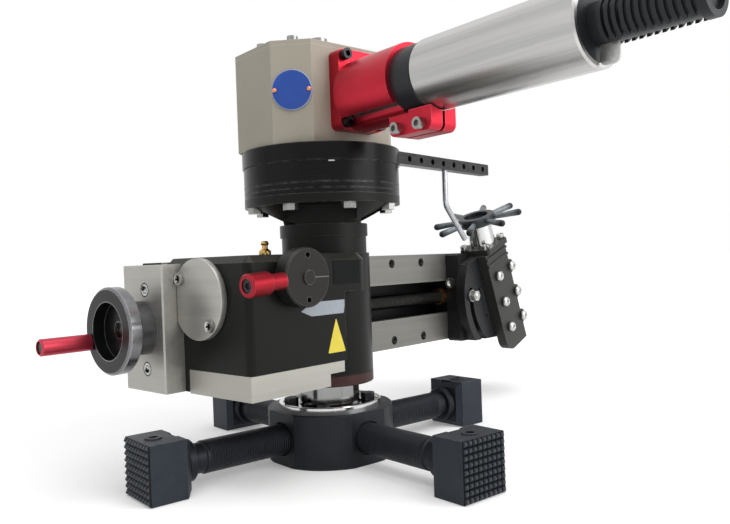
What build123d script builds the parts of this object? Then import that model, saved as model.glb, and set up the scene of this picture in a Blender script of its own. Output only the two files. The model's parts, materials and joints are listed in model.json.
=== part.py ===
from build123d import *
import os
from math import cos, pi, sin, sqrt

# Flange facing machine for the inside of a pipe flange. Millimetres, +Z up along the machine's axis.
# The origin is on that axis, in the plane of the underside of the chuck hub and its four gripping pads.
# +X runs along the tool arm, from the handwheel to the tool head, and -Y is the side with the feed dial.

# Fits and cuts
part_gap = 0.3
running_fit = 0.05
overrun = 6.0
edge_break = 1.0
small_edge = 0.5

# Chuck hub, turned about the legs
leg_yaw = -8.0
hub_radius = 51.5
hub_height = 42.0
hub_flat_distance = 48.7
hub_recess_depth = 6.0
hub_ring_radius = 42.0
hub_ring_width = 3.5
hub_ring_height = 4.0
hub_bolt_circle = 32.0
hub_hex_angle = -36.5
hub_socket_angle = 35.5
hub_bolt_radius = 3.0
hub_bolt_reach = 14.0
hub_hex_across = 10.0
hub_hex_height = 5.5
hub_socket_head_radius = 5.0
hub_socket_head_height = 2.5

# Legs and gripping pads
leg_names = ("back_right", "back_left", "front_left", "front_right")
leg_height = 21.0
leg_radius = 12.0
leg_root = 30.0
leg_mouth_radius = 13.5
leg_mouth_depth = 3.0
leg_neck_radius = 11.0
leg_neck_length = 9.0
leg_pin_radius = 8.0
leg_pin_length = 13.0
leg_nut_radius = 15.0
leg_nut_length = 7.0
pad_reach = 168.5
pad_width = 41.2
pad_depth = 33.7
pad_teeth = 9
pad_tooth_height = 2.4
pad_edge = 4.5
pad_plug_radius = 6.2
pad_plug_proud = 0.8
pad_plug_setback = 14.0
pad_notch_width = 14.0
pad_notch_depth = 2.0

# Mandrel: the fixed spindle that everything above the chuck turns on
mandrel_spigot_radius = 20.0
mandrel_flange_thickness = 7.5
mandrel_foot_radius = 24.5
mandrel_flare = 1.5
mandrel_flat_distance = 23.6
mandrel_flats = 6
mandrel_foot_top = 63.0
mandrel_bearing_radius = 20.0
mandrel_bearing_top = 186.0
mandrel_neck_radius = 13.0
mandrel_stub_radius = 10.0
mandrel_stub_rise = 11.5
top_nut_across = 30.0
top_nut_height = 8.5

# Turning housing
retainer_bottom = 61.0
retainer_thickness = 8.2
column_radius = 37.0
column_neck_radius = 35.0
column_bottom = 69.5
column_top = 180.0
column_bore = 28.0
box_left = -126.0
box_right = -35.0
box_front = -55.0
box_back = 38.0
box_bottom = 86.0
box_top = 166.0
box_corner = 6.0
box_bevel = 5.0
bearing_outer_radius = 31.0
bearing_height = 15.0
lower_bearing_base = 72.0
upper_bearing_base = 160.0
bearing_groove = 1.6
top_shelf_bottom = 137.0
top_shelf_right = -6.0
plate_bottom = 69.0
plate_back = 15.0
plate_right = -38.0
plate_notch_length = 15.0
plate_notch_depth = 9.0

# Bell and gear discs
bell_collar_radius = 36.3
bell_cone_bottom = 190.0
bell_cone_radius = 60.0
bell_flange_bottom = 204.7
bell_bore = 26.0
bell_pocket_yaw = 43.0
bell_pocket_inner = 31.0
bell_pocket_half_width = 28.0
bell_bolt_circle = 57.5
bell_bolt_count = 8
bell_bolt_first_angle = 20.0
bell_bolt_radius = 3.0
bell_bolt_across = 10.0
bell_bolt_head = 5.0
bell_bolt_reach = 12.0
lower_disc_radius = 64.0
lower_disc_bottom = 211.5
lower_disc_top = 236.0
lower_disc_floor = 4.0
lower_disc_bore = 54.0
disc_groove_heights = (3.5, 8.0)
disc_groove_width = 0.8
disc_groove_depth = 0.6
upper_disc_radius = 65.0
upper_disc_thickness = 13.4

# Drive gears
gear_module = 2.0
ring_teeth = 48
pinion_teeth = 16
ring_gear_height = 16.0
pinion_height = 13.0
pinion_lift = 2.0
drive_shaft_radius = 6.0
drive_collar_radius = 9.0
bevel_module = 1.25
bevel_gear_teeth = 24
bevel_pinion_teeth = 12
bevel_width_share = 0.36
bevel_back = 6.0
spindle_radius = 5.0

# Gear head
head_half_length = 60.0
head_front = 43.0
head_back = 53.0
head_corner = 22.0
head_top = 324.5
cover_thickness = 3.6
cover_screw_inset = 9.5
cap_m5_head_radius = 4.25
cap_m5_head_height = 5.0
cap_m5_radius = 2.5
cap_m5_reach = 12.0
oil_plug_radius = 7.0
oil_plug_height = 5.0
oil_plug_out = 29.4
oil_plug_across = 20.7
direction_disc_radius = 16.0
direction_disc_thickness = 1.4
direction_disc_height = 290.0
nut_pocket_radius = 20.0
bevel_pocket_radius = 19.0
bevel_pocket_top = 302.0

# Air motor and its clamp, along the motor's own axis
motor_height = 286.0
motor_body_radius = 21.5
motor_body_start = 52.0
motor_body_end = 256.0
motor_bore_radius = 16.0
motor_wall_end = 8.0
adapter_flange_half_width = 21.5
adapter_flange_low = 260.0
adapter_flange_high = 321.0
adapter_flange_corner = 5.0
adapter_flange_end = 55.0
adapter_radius = 27.5
adapter_end = 113.0
adapter_slot = 2.4
adapter_lug_start = 99.0
adapter_lug_end = 141.0
adapter_lug_half_width = 12.0
adapter_lug_drop = 39.5
adapter_lug_gap = 0.8
adapter_lug_corner = 5.0
adapter_screw_places = (108.0, 131.0)
adapter_screw_radius = 2.5
adapter_screw_head_radius = 4.2
adapter_screw_depth = 34.3
flange_screw_across = 16.0
flange_screw_inset = 4.7
adapter_groove_radius = 5.5
collar_radius = 24.0
collar_end = 133.0
sleeve_radius = 25.0
sleeve_end = 261.0
sleeve_lip = 1.2
rotor_radius = 15.2
rotor_vanes = 5
rotor_vane_slot = 1.6
rotor_start = 66.0
rotor_end = 240.0
muffler_root_radius = 12.2
muffler_fin_radius = 14.0
muffler_fins = 12
muffler_fin_share = 0.5
muffler_start = 268.0
muffler_end = 320.0
muffler_cap_end = 325.0
muffler_cap_recess = 3.0

# Trip bar and trip rod
trip_bar_side = 10.0
trip_bar_bottom = 238.0
trip_bar_start_x = 45.0
trip_bar_start_y = -48.6
trip_bar_length = 138.0
trip_bar_slope = 2.5
trip_hole_radius = 2.6
trip_hole_first = 5.8
trip_hole_pitch = 17.1
trip_hole_count = 8
trip_rod_radius = 2.5
trip_rod_hole_number = 3.5
trip_rod_straight = 31.0
trip_rod_bend_radius = 9.0
trip_rod_run = 31.0
trip_rod_drop = 31.0

# Round cover, end block, arm and rails
round_cover_radius = 28.7
round_cover_thickness = 5.0
round_cover_height = 136.7
round_cover_flat = 19.6
cover_middle_y = -4.0
cover_screw_circle_share = 0.8
cover_screw_angles = (125.0, -55.0)
button_head_radius = 3.8
button_head_height = 2.2
m4_radius = 2.0
screw_y = 46.0
screw_z = 116.5
block_left = -142.6
block_front = 20.0
block_back = 72.0
block_bottom = 70.0
block_top = 162.0
block_screw_y = 43.0
block_screw_heights = (86.6, 144.0)
cap_m6_head_radius = 5.0
cap_m6_head_height = 6.0
cap_m6_radius = 3.0
cap_m6_counterbore = 6.0
arm_end = 340.0
arm_back = 72.0
arm_bottom = 70.0
arm_top = 163.5
rail_front = 38.0
rail_thickness = 8.0
upper_rail_bottom = 134.0
lower_rail_top = 99.0
slot_depth = 16.0
tee_overlap = 7.0
rail_screw_first = -12.0
rail_screw_pitch = 48.0
rail_screw_count = 8
rail_screw_height = 155.0
arm_end_thickness = 8.0

# Lead screw, handwheel and crank
lead_screw_radius = 7.0
journal_radius = 6.0
wheel_face = -171.0
wheel_radius = 31.0
wheel_rim_width = 10.4
wheel_edge = 1.5
wheel_mouth_radius = 20.5
wheel_mouth_depth = 9.0
wheel_hub_radius = 19.5
crank_angle = 70.5
crank_circle = 25.5
crank_radius = 6.0
crank_length = 37.0
crank_bolt_radius = 3.0
crank_recess_radius = 4.2
crank_recess_depth = 5.0

# Feed dial and its lever
dial_x = -83.5
dial_z = 149.5
dial_radius = 20.7
dial_thickness = 12.4
dial_gap = 0.3
dial_boss_radius = 5.0
dial_boss_height = 1.4
dial_hole_radius = 2.0
dial_hole_circle = 15.5
dial_hole_depth = 5.0
dial_stem_radius = 5.0
dial_stem_length = 14.0
lever_tilt = 4.0
lever_height = 8.8
lever_neck_radius = 5.8
lever_neck_length = 13.0
lever_head_radius = 8.0
lever_head_length = 17.5
lever_recess_radius = 5.0
lever_recess_depth = 5.0

# Grease nipple
nipple_x = -44.0
nipple_y = 24.0
nipple_radius = 3.6
nipple_height = 9.0

# Carriage
carriage_left = 224.0
carriage_right = 326.0
carriage_front = 21.0
carriage_back = 37.7
carriage_bottom = 68.0
carriage_top = 163.0
carriage_tee_inset = 6.0
carriage_edge = 2.0
carriage_screw_y = 31.0
carriage_screw_z = 131.0
lead_nut_radius = 8.8
lead_nut_proud = 8.0
lead_nut_length = 34.0
pivot_boss_radius = 15.0
pivot_boss_depth = 11.0

# Tool head, in its own leaning frame about the swivel pivot
pivot_x = 293.0
pivot_z = 117.0
head_lean = 21.0
base_front = 10.0
base_thickness = 10.7
base_radius = 75.0
base_half_height = 55.6
base_right = 24.0
slot_circle = 63.0
slot_width = 7.0
slot_end_angle = 50.0
slot_start_angle = 5.0
stud_radius = 3.2
stud_washer_radius = 6.5
stud_washer_thickness = 1.6
stud_nut_across = 10.0
stud_nut_height = 6.0
gib_screw_u = -39.6
gib_screw_places = (22.0, -10.0)
gib_screw_radius = 3.0
slide_left = -31.0
slide_right = 12.0
slide_bottom = -61.0
slide_top = 56.0
slide_thickness = 11.0
slide_lobe_radius = 8.0
slide_foot_radius = 14.0
way_half_width = 14.0
way_depth = 4.0
way_flare = 2.5
ridge_places = (43.5, 51.5)
ridge_width = 3.0
ridge_height = 1.6
bolt_columns = (-17.0, 12.0)
bolt_rows = (27.5, -3.5, -34.5)
tool_bolt_radius = 2.5
tool_bolt_proud = 8.0
tool_bolt_head_radius = 4.2
tool_bolt_head_height = 5.0
tool_bolt_reach = 6.0
feed_y = 15.5
feed_u = -6.0
feed_screw_radius = 4.5
feed_screw_bottom = -46.0
feed_groove_radius = 5.0
feed_nut_low = -20.0
feed_nut_high = -4.0
feed_plate_width = 42.0
feed_plate_front = -4.0
feed_plate_back = 34.0
feed_plate_thickness = 6.0
feed_plate_screw_spread = 33.6
feed_plate_screw_depth = 27.6
feed_collar_radius = 14.5
swivel_tilt_more = 4.5
star_ring_radius = 20.0
star_top = 96.0
star_ring_height = 10.0
star_bore_radius = 13.0
star_bore_depth = 5.0
star_spokes = 8
star_first_angle = -24.0
star_tip_radius = 50.0
star_spoke_root = 3.4
star_spoke_tip = 4.6

LOW = (Align.CENTER, Align.CENTER, Align.MIN)
CORNER = (Align.MIN, Align.MIN, Align.MIN)


def rod(radius, start, end):
    """A round bar along Z between two heights."""
    return Pos(0, 0, start) * Cylinder(radius, end - start, align=LOW)


def tube(outer, inner, start, end):
    """A round tube along Z between two heights."""
    return rod(outer, start, end) - rod(inner, start, end)


def block(x0, x1, y0, y1, z0, z1):
    """A rectangular block between two corners."""
    return Pos(x0, y0, z0) * Box(x1 - x0, y1 - y0, z1 - z0, align=CORNER)


def hex_bar(across, start, end):
    """A hexagonal bar along Z, given across its flats."""
    return Pos(0, 0, start) * extrude(RegularPolygon(across / 2, 6, major_radius=False), end - start)


def turned(points):
    """A solid turned about Z from an outline of (radius, height) points."""
    outline = Plane.XZ * make_face(Polyline(*points, close=True))
    return revolve(outline, Axis.Z)


def around(radius, angle):
    """A place on a circle about Z, turned to face outwards."""
    return Rot(0, 0, angle) * Pos(radius, 0, 0)


def fused(solids):
    """One solid from several that touch or cross."""
    result = solids[0]
    for solid in solids[1:]:
        result = result + solid
    return result


def front_slab(sketch, y_front, y_back):
    """A drawn outline (x across, y upwards) made a plate that faces -Y."""
    return Rot(90, 0, 0) * Pos(0, 0, -y_back) * extrude(sketch, y_back - y_front)


def socket_screw(head_radius, head_height, shank_radius, reach):
    """A cap screw standing on Z = 0, with its socket."""
    screw = rod(head_radius, 0, head_height) - hex_bar(head_radius, head_height / 2, head_height + overrun)
    return screw + rod(shank_radius, -reach, 0) if reach else screw


def hex_screw(across, head_height, shank_radius, reach):
    """A hexagon head screw standing on Z = 0."""
    return hex_bar(across, 0, head_height) + rod(shank_radius, -reach, 0)


# Frames for what doesn't stand along Z: the motor, the lead screw and the tool head
motor_frame = Rot(0, 0, leg_yaw - 90) * Pos(0, 0, motor_height) * Rot(0, 90, 0)
screw_frame = Pos(0, screw_y, screw_z) * Rot(0, 90, 0)
left_face_frame = Rot(0, -90, 0)
tool_frame = Pos(pivot_x, 0, pivot_z) * Rot(0, -head_lean, 0)

nodes = {}

# Chuck hub
hub_floor = hub_height - hub_recess_depth
flange_radius = hub_ring_radius - hub_ring_width - part_gap
leg_angles = [leg_yaw + 90 * number for number in range(len(leg_names))]


def make_hub():
    """Round hub with a flat and a threaded leg hole on each of four sides."""
    hub = rod(hub_radius, 0, hub_height)
    hub = chamfer(hub.edges().filter_by(GeomType.CIRCLE), edge_break)
    hub -= rod(flange_radius + part_gap, hub_floor, hub_height + overrun)
    hub -= rod(mandrel_spigot_radius, -overrun, hub_floor + overrun)
    for angle in leg_angles:
        side = around(hub_flat_distance, angle) * Pos(0, 0, leg_height) * Rot(0, 90, 0)
        waste = block(0, hub_radius, -hub_radius, hub_radius, -overrun, hub_height + overrun)
        hub -= around(hub_flat_distance, angle) * waste
        hub -= side * rod(leg_radius + running_fit, -hub_radius, overrun)
        hub -= side * rod(leg_mouth_radius, -leg_mouth_depth, overrun)
    for angle in hub_bolt_angles:
        bolt_hole = rod(hub_bolt_radius, hub_floor - hub_bolt_reach, hub_floor + overrun)
        hub -= around(hub_bolt_circle, angle) * bolt_hole
    return hub


hub_bolt_angles = [hub_hex_angle, hub_hex_angle + 180, hub_socket_angle, hub_socket_angle + 180]
flange_top = hub_floor + mandrel_flange_thickness
nodes["chuck_hub"] = make_hub()
nodes["hub_ring"] = chamfer(
    tube(hub_ring_radius, hub_ring_radius - hub_ring_width, hub_height, hub_height + hub_ring_height)
    .edges().group_by(Axis.Z)[-1],
    edge_break / 2,
)

hub_bolt_length = flange_top - hub_floor + hub_bolt_reach
hub_bolts = []
for angle in hub_bolt_angles[:2]:
    screw = hex_screw(hub_hex_across, hub_hex_height, hub_bolt_radius, hub_bolt_length)
    hub_bolts.append(around(hub_bolt_circle, angle) * Pos(0, 0, flange_top) * screw)
for angle in hub_bolt_angles[2:]:
    screw = socket_screw(hub_socket_head_radius, hub_socket_head_height, hub_bolt_radius, hub_bolt_length)
    hub_bolts.append(around(hub_bolt_circle, angle) * Pos(0, 0, flange_top) * screw)
nodes["hub_bolts"] = hub_bolts

# Mandrel, with its bolted flange, ground foot, bearing length and threaded stub
upper_disc_bottom = lower_disc_top + part_gap
upper_disc_top = upper_disc_bottom + upper_disc_thickness
stub_top = upper_disc_top + mandrel_stub_rise


def make_mandrel():
    """The turned spindle, with flats ground on its foot."""
    body = turned([
        (0, 0),
        (mandrel_spigot_radius, 0),
        (mandrel_spigot_radius, hub_floor),
        (flange_radius, hub_floor),
        (flange_radius, flange_top),
        (mandrel_foot_radius + mandrel_flare, flange_top),
        (mandrel_foot_radius, flange_top + mandrel_flare),
        (mandrel_foot_radius, mandrel_foot_top),
        (mandrel_bearing_radius, mandrel_foot_top + edge_break),
        (mandrel_bearing_radius, mandrel_bearing_top),
        (mandrel_neck_radius, mandrel_bearing_top + edge_break),
        (mandrel_neck_radius, upper_disc_bottom),
        (mandrel_stub_radius, upper_disc_bottom),
        (mandrel_stub_radius, stub_top),
        (0, stub_top),
    ])
    for number in range(mandrel_flats):
        place = around(mandrel_flat_distance, 360 * number / mandrel_flats + leg_yaw)
        low = flange_top + mandrel_flare
        body -= place * block(0, overrun, -mandrel_foot_radius, mandrel_foot_radius, low, mandrel_foot_top)
    for angle in hub_bolt_angles:
        body -= around(hub_bolt_circle, angle) * rod(hub_bolt_radius, 0, flange_top + overrun)
    return body


top_nut = hex_bar(top_nut_across, upper_disc_top, upper_disc_top + top_nut_height)
nodes["mandrel"] = [make_mandrel(), top_nut - rod(mandrel_stub_radius, 0, stub_top + overrun)]

# Legs and gripping pads: one of each is made, then set on each side of the hub
pad_face = pad_reach - pad_tooth_height
pad_inner = pad_reach - pad_depth
pad_half = pad_width / 2


def make_pad():
    """Square pad along X, with rows of pyramid teeth on its outer face."""
    body = block(pad_inner, pad_face, -pad_half, pad_half, leg_height - pad_half, leg_height + pad_half)
    inner_edges = body.faces().sort_by(Axis.X)[0].edges()
    body = chamfer(inner_edges, pad_edge)
    step = pad_width / pad_teeth
    wedge_points = []
    for number in range(pad_teeth):
        start = -pad_half + step * number
        wedge_points += [(pad_face, start), (pad_reach, start + step / 2)]
    seat = pad_face - pad_tooth_height
    wedge_points += [(pad_face, pad_half), (seat, pad_half), (seat, -pad_half)]
    across = extrude(make_face(Polyline(*wedge_points, close=True)), pad_half, both=True)
    upright = Rot(90, 0, 0) * across
    teeth = Pos(0, 0, leg_height) * (across & upright)
    body += teeth
    top = leg_height + pad_half
    notch_end = pad_inner + pad_edge + pad_notch_depth
    notch_half = pad_notch_width / 2
    body -= block(pad_inner - overrun, notch_end, -notch_half, notch_half, top - pad_notch_depth, top + overrun)
    pin_hole = rod(leg_pin_radius + running_fit, 0, pad_inner + leg_pin_length + part_gap)
    body -= Pos(0, 0, leg_height) * Rot(0, 90, 0) * pin_hole
    body -= Pos(pad_reach - pad_plug_setback, 0, 0) * rod(pad_plug_radius, top - pad_plug_radius, top + overrun)
    return body


def make_pad_plug():
    """The screw in the pad's top that keeps the leg's pin from pulling out."""
    top = leg_height + pad_half
    plug = rod(pad_plug_radius, top - pad_plug_radius, top + pad_plug_proud)
    socket = hex_bar(pad_plug_radius, top - pad_plug_radius / 2, top + overrun)
    return Pos(pad_reach - pad_plug_setback, 0, 0) * (plug - socket)


def make_leg():
    """Threaded leg along X, with a plain neck and a pin that the pad turns on."""
    nut_start = pad_inner - part_gap - leg_nut_length
    return Pos(0, 0, leg_height) * Rot(0, 90, 0) * turned([
        (0, leg_root),
        (leg_radius - edge_break, leg_root),
        (leg_radius, leg_root + edge_break),
        (leg_radius, nut_start - leg_neck_length),
        (leg_neck_radius, nut_start - leg_neck_length + edge_break),
        (leg_neck_radius, nut_start),
        (leg_nut_radius - edge_break, nut_start),
        (leg_nut_radius, nut_start + edge_break),
        (leg_nut_radius, pad_inner - part_gap - edge_break),
        (leg_nut_radius - edge_break, pad_inner - part_gap),
        (leg_pin_radius, pad_inner - part_gap),
        (leg_pin_radius, pad_inner + leg_pin_length),
        (0, pad_inner + leg_pin_length),
    ])


for name, angle in zip(leg_names, leg_angles):
    nodes["leg_" + name] = Rot(0, 0, angle) * make_leg()
    nodes["pad_" + name] = [Rot(0, 0, angle) * make_pad(), Rot(0, 0, angle) * make_pad_plug()]

# Turning housing: a box for the feed gears beside the column that holds both bearings
column_bores = [
    rod(column_bore, column_bottom - overrun, column_top + overrun),
    rod(bearing_outer_radius, column_bottom - overrun, lower_bearing_base + bearing_height),
    rod(bearing_outer_radius, upper_bearing_base, column_top + overrun),
]


def make_housing():
    """Cast box and column in one, with bevelled top edges."""
    box = block(box_left, box_right, box_front, box_back, box_bottom, box_top)
    front_left = box.edges().filter_by(Axis.Z).group_by(Axis.X)[0].sort_by(Axis.Y)[0]
    box = fillet(front_left, box_corner)
    top_rim = box.edges().group_by(Axis.Z)[-1]
    rim = [e for e in top_rim if e.center().Y < box_back - edge_break and e.center().X < box_right - edge_break]
    box = chamfer(rim, box_bevel)
    shelf = block(box_right, top_shelf_right, box_front, 0, top_shelf_bottom, box_top)
    shelf = fillet(shelf.edges().filter_by(Axis.Z).group_by(Axis.X)[-1].sort_by(Axis.Y)[0], box_corner * 2)
    shelf_rim = [e for e in shelf.edges().group_by(Axis.Z)[-1] if e.center().Y < -edge_break]
    shelf = chamfer([e for e in shelf_rim if e.center().X > box_right + edge_break], box_bevel)
    lower_column = rod(column_radius, column_bottom, box_top)
    upper_column = rod(column_neck_radius, column_bottom, column_top)
    body = fused([box, shelf, lower_column, upper_column])
    for bore in column_bores:
        body -= bore
    stem_hole = rod(dial_stem_radius + running_fit, -dial_stem_length - part_gap, overrun)
    body -= Pos(dial_x, box_front, dial_z) * Rot(90, 0, 0) * stem_hole
    return body


nodes["swivel_housing"] = make_housing()

bearing_land = (bearing_outer_radius - mandrel_bearing_radius) / 3


def make_bearing(base):
    """A ball bearing seen from outside: two rings with a sunk shield between them."""
    inner = mandrel_bearing_radius + running_fit
    top = base + bearing_height
    return turned([
        (inner, base),
        (inner + bearing_land, base),
        (inner + bearing_land, base + bearing_groove),
        (bearing_outer_radius - bearing_land, base + bearing_groove),
        (bearing_outer_radius - bearing_land, base),
        (bearing_outer_radius, base),
        (bearing_outer_radius, top),
        (bearing_outer_radius - bearing_land, top),
        (bearing_outer_radius - bearing_land, top - bearing_groove),
        (inner + bearing_land, top - bearing_groove),
        (inner + bearing_land, top),
        (inner, top),
    ])


nodes["main_bearings"] = [make_bearing(lower_bearing_base), make_bearing(upper_bearing_base)]
nodes["retainer_ring"] = chamfer(
    tube(column_radius, mandrel_foot_radius + part_gap * 2, retainer_bottom, retainer_bottom + retainer_thickness)
    .edges().group_by(Axis.Z)[0],
    small_edge,
)

lower_column_cut = rod(column_radius + part_gap, plate_bottom - overrun, box_bottom + overrun)


def make_bottom_plate():
    """Ground plate under the box, cut round the column, with a step at its outer corner."""
    plate = block(box_left, plate_right, box_front, plate_back, plate_bottom, box_bottom)
    step_start = plate_right - plate_notch_length
    step_top = plate_bottom + plate_notch_depth
    plate -= block(step_start, plate_right + overrun, box_front - overrun, 0, plate_bottom - overrun, step_top)
    plate = chamfer(plate.edges().filter_by(Axis.Z).group_by(Axis.X)[0], small_edge)
    return plate - lower_column_cut


nodes["bottom_plate"] = make_bottom_plate()
housing_back_foot = block(box_left, plate_right, plate_back + part_gap, box_back, plate_bottom + edge_break, box_bottom)
nodes["swivel_housing"] += housing_back_foot - rod(column_bore, column_bottom - overrun, column_top)

# Bell above the column, and the lower gear disc that it carries
bell_bolt_angles = [bell_bolt_first_angle + 360 / bell_bolt_count * number for number in range(bell_bolt_count)]


def make_bell():
    """Turned bell whose flank is milled away between four ribs."""
    bell = turned([
        (bell_bore, column_top),
        (bell_collar_radius, column_top),
        (bell_collar_radius, bell_cone_bottom),
        (bell_cone_radius, bell_flange_bottom),
        (lower_disc_radius, bell_flange_bottom),
        (lower_disc_radius, lower_disc_bottom),
        (bell_bore, lower_disc_bottom),
    ])
    half = bell_pocket_half_width
    pocket = block(bell_pocket_inner, lower_disc_radius + overrun, -half, half, bell_cone_bottom, bell_flange_bottom)
    for number in range(4):
        bell -= Rot(0, 0, bell_pocket_yaw + 90 * number) * pocket
    for angle in bell_bolt_angles:
        bell -= around(bell_bolt_circle, angle) * rod(bell_bolt_radius, column_top, lower_disc_bottom + overrun)
    return bell


def make_lower_disc():
    """Cup that holds the ring gear, with fine grooves turned round its rim."""
    outline = [(bell_bore, lower_disc_bottom), (lower_disc_radius, lower_disc_bottom)]
    for height in disc_groove_heights:
        low = lower_disc_bottom + height
        outline += [(lower_disc_radius, low), (lower_disc_radius - disc_groove_depth, low)]
        low += disc_groove_width
        outline += [(lower_disc_radius - disc_groove_depth, low), (lower_disc_radius, low)]
    floor_top = lower_disc_bottom + lower_disc_floor
    outline += [(lower_disc_radius, lower_disc_top), (lower_disc_bore, lower_disc_top)]
    outline += [(lower_disc_bore, floor_top), (bell_bore, floor_top)]
    disc = turned(outline)
    for angle in bell_bolt_angles:
        hole = rod(bell_bolt_radius, lower_disc_bottom - overrun, bell_flange_bottom + bell_bolt_reach)
        disc -= around(bell_bolt_circle, angle) * hole
    return disc


bell_bolt = Pos(0, 0, bell_flange_bottom) * Rot(180, 0, 0) * hex_screw(
    bell_bolt_across, bell_bolt_head, bell_bolt_radius, bell_bolt_reach
)
nodes["bell"] = make_bell()
nodes["bell_bolts"] = [around(bell_bolt_circle, angle) * bell_bolt for angle in bell_bolt_angles]
nodes["lower_gear_disc"] = make_lower_disc()


def tooth_outline(module, teeth, places):
    """Closed outline of a gear whose teeth run through (height share, half width share) places."""
    points = []
    pitch_radius = module * teeth / 2
    for number in range(teeth):
        for height, half_width in places:
            angle = 2 * pi * (number + half_width) / teeth
            radius = pitch_radius + module * height
            points.append((radius * cos(angle), radius * sin(angle)))
    return make_face(Polyline(*points, close=True))


# Half widths are shares of one tooth pitch and heights are shares of the module
outer_tooth_share = [(-1.15, -0.3), (0.85, -0.11), (0.85, 0.11), (-1.15, 0.3)]
inner_space_share = [(-0.85, -0.4), (1.15, -0.2), (1.15, 0.2), (-0.85, 0.4)]
bevel_tooth_share = [(-1.35, -0.3), (0.6, -0.13), (0.6, 0.13), (-1.35, 0.3)]

ring_base = lower_disc_bottom + lower_disc_floor
pinion_base = ring_base + pinion_lift
gear_centres = gear_module * (ring_teeth - pinion_teeth) / 2
drive_angle = leg_yaw + 90
ring_space = extrude(tooth_outline(gear_module, ring_teeth, inner_space_share), ring_gear_height)
ring_blank = rod(lower_disc_bore, ring_base, ring_base + ring_gear_height)
nodes["ring_gear"] = ring_blank - Rot(0, 0, drive_angle) * Pos(0, 0, ring_base) * ring_space


def make_bevel(teeth, mate_teeth, turn):
    """Bevel gear below its cone's point, which is at the origin."""
    distance = bevel_module * mate_teeth / 2
    narrow = 1 - bevel_width_share
    outline = Rot(0, 0, turn) * tooth_outline(bevel_module, teeth, bevel_tooth_share)
    toothed = loft([Pos(0, 0, -distance) * outline, Pos(0, 0, -distance * narrow) * scale(outline, narrow)], ruled=True)
    root_radius = bevel_module * (teeth / 2 + bevel_tooth_share[0][0])
    return toothed + rod(root_radius, -distance - bevel_back, -distance)


# Pinion shaft: it takes the drive from the bevel gear down to the ring gear
pinion_place = around(gear_centres, drive_angle)
pinion = extrude(tooth_outline(gear_module, pinion_teeth, outer_tooth_share), pinion_height)
shaft_foot_angle = leg_yaw - 90
bevel_gear = Rot(0, 0, shaft_foot_angle) * make_bevel(bevel_gear_teeth, bevel_pinion_teeth, 0)
bevel_gear_low = motor_height - bevel_module * bevel_pinion_teeth / 2 - bevel_back
pinion_shaft = rod(drive_shaft_radius, pinion_base + pinion_height, bevel_gear_low)
pinion_shaft += rod(drive_collar_radius, upper_disc_top + part_gap, upper_disc_top + part_gap + edge_break * 2)
nodes["pinion_shaft"] = [
    pinion_place * Pos(0, 0, pinion_base) * pinion,
    pinion_place * pinion_shaft,
    Pos(*pinion_place.position) * Pos(0, 0, motor_height) * bevel_gear,
]

# Upper gear disc, fixed on the mandrel's neck
upper_disc = turned([
    (mandrel_stub_radius, upper_disc_bottom),
    (upper_disc_radius, upper_disc_bottom),
    (upper_disc_radius, upper_disc_top - small_edge),
    (upper_disc_radius - small_edge, upper_disc_top),
    (mandrel_stub_radius, upper_disc_top),
])
upper_disc -= pinion_place * rod(drive_shaft_radius + running_fit, upper_disc_bottom - overrun, upper_disc_top + overrun)
nodes["upper_gear_disc"] = upper_disc

# Gear head: x runs out towards the motor and y across it
gear_head_frame = Rot(0, 0, leg_yaw - 90)
head_outline = Pos((head_front - head_back) / 2, 0) * Rectangle(head_front + head_back, head_half_length * 2)
head_outline = chamfer(head_outline.vertices(), head_corner)
facet_out = head_front - head_corner / 2
facet_back = head_corner / 2 - head_back
facet_across = head_half_length - head_corner / 2
inset = cover_screw_inset / sqrt(2)
cover_screw_places = [
    (facet_out - inset, facet_across - inset),
    (facet_out - inset, inset - facet_across),
    (facet_back + inset, facet_across - inset),
    (facet_back + inset, inset - facet_across),
    ((head_front - head_back) / 2, head_half_length - cover_screw_inset),
    ((head_front - head_back) / 2, cover_screw_inset - head_half_length),
]
cover_top = head_top + cover_thickness
spindle_back = bevel_module * bevel_gear_teeth / 2 + bevel_back


def make_gear_head():
    """Prism with pockets for the nut, the bevel pair and the motor spindle."""
    head = Pos(0, 0, upper_disc_top) * extrude(head_outline, head_top - upper_disc_top)
    head -= rod(nut_pocket_radius, upper_disc_top - overrun, stub_top + part_gap)
    head -= Pos(-gear_centres, 0, 0) * rod(bevel_pocket_radius, upper_disc_top - overrun, bevel_pocket_top)
    spindle_hole = Pos(-gear_centres, 0, motor_height) * Rot(0, 90, 0)
    head -= spindle_hole * rod(spindle_radius + running_fit, 0, gear_centres + head_front + overrun)
    head -= spindle_hole * rod(bevel_pinion_pocket, 0, spindle_back + part_gap)
    for x, y in cover_screw_places:
        head -= Pos(x, y, 0) * rod(cap_m5_radius, head_top - cap_m5_reach, head_top + overrun)
    return head


bevel_pinion_pocket = bevel_module * bevel_pinion_teeth / 2 + edge_break
nodes["gear_head"] = gear_head_frame * make_gear_head()
cover = Pos(0, 0, head_top) * extrude(head_outline, cover_thickness)
for x, y in cover_screw_places:
    cover -= Pos(x, y, 0) * rod(cap_m5_radius, head_top - overrun, cover_top + overrun)
cover -= Pos(oil_plug_out, -oil_plug_across, 0) * rod(cap_m5_radius, head_top - overrun, cover_top + overrun)
nodes["head_cover"] = gear_head_frame * cover
head_screw = Pos(0, 0, cover_top) * socket_screw(
    cap_m5_head_radius, cap_m5_head_height, cap_m5_radius, cap_m5_reach + cover_thickness
)
nodes["head_screws"] = [gear_head_frame * Pos(x, y, 0) * head_screw for x, y in cover_screw_places]
oil_plug = Pos(0, 0, cover_top) * socket_screw(oil_plug_radius, oil_plug_height, cap_m5_radius, cover_thickness)
nodes["head_screws"].append(gear_head_frame * Pos(oil_plug_out, -oil_plug_across, 0) * oil_plug)

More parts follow.
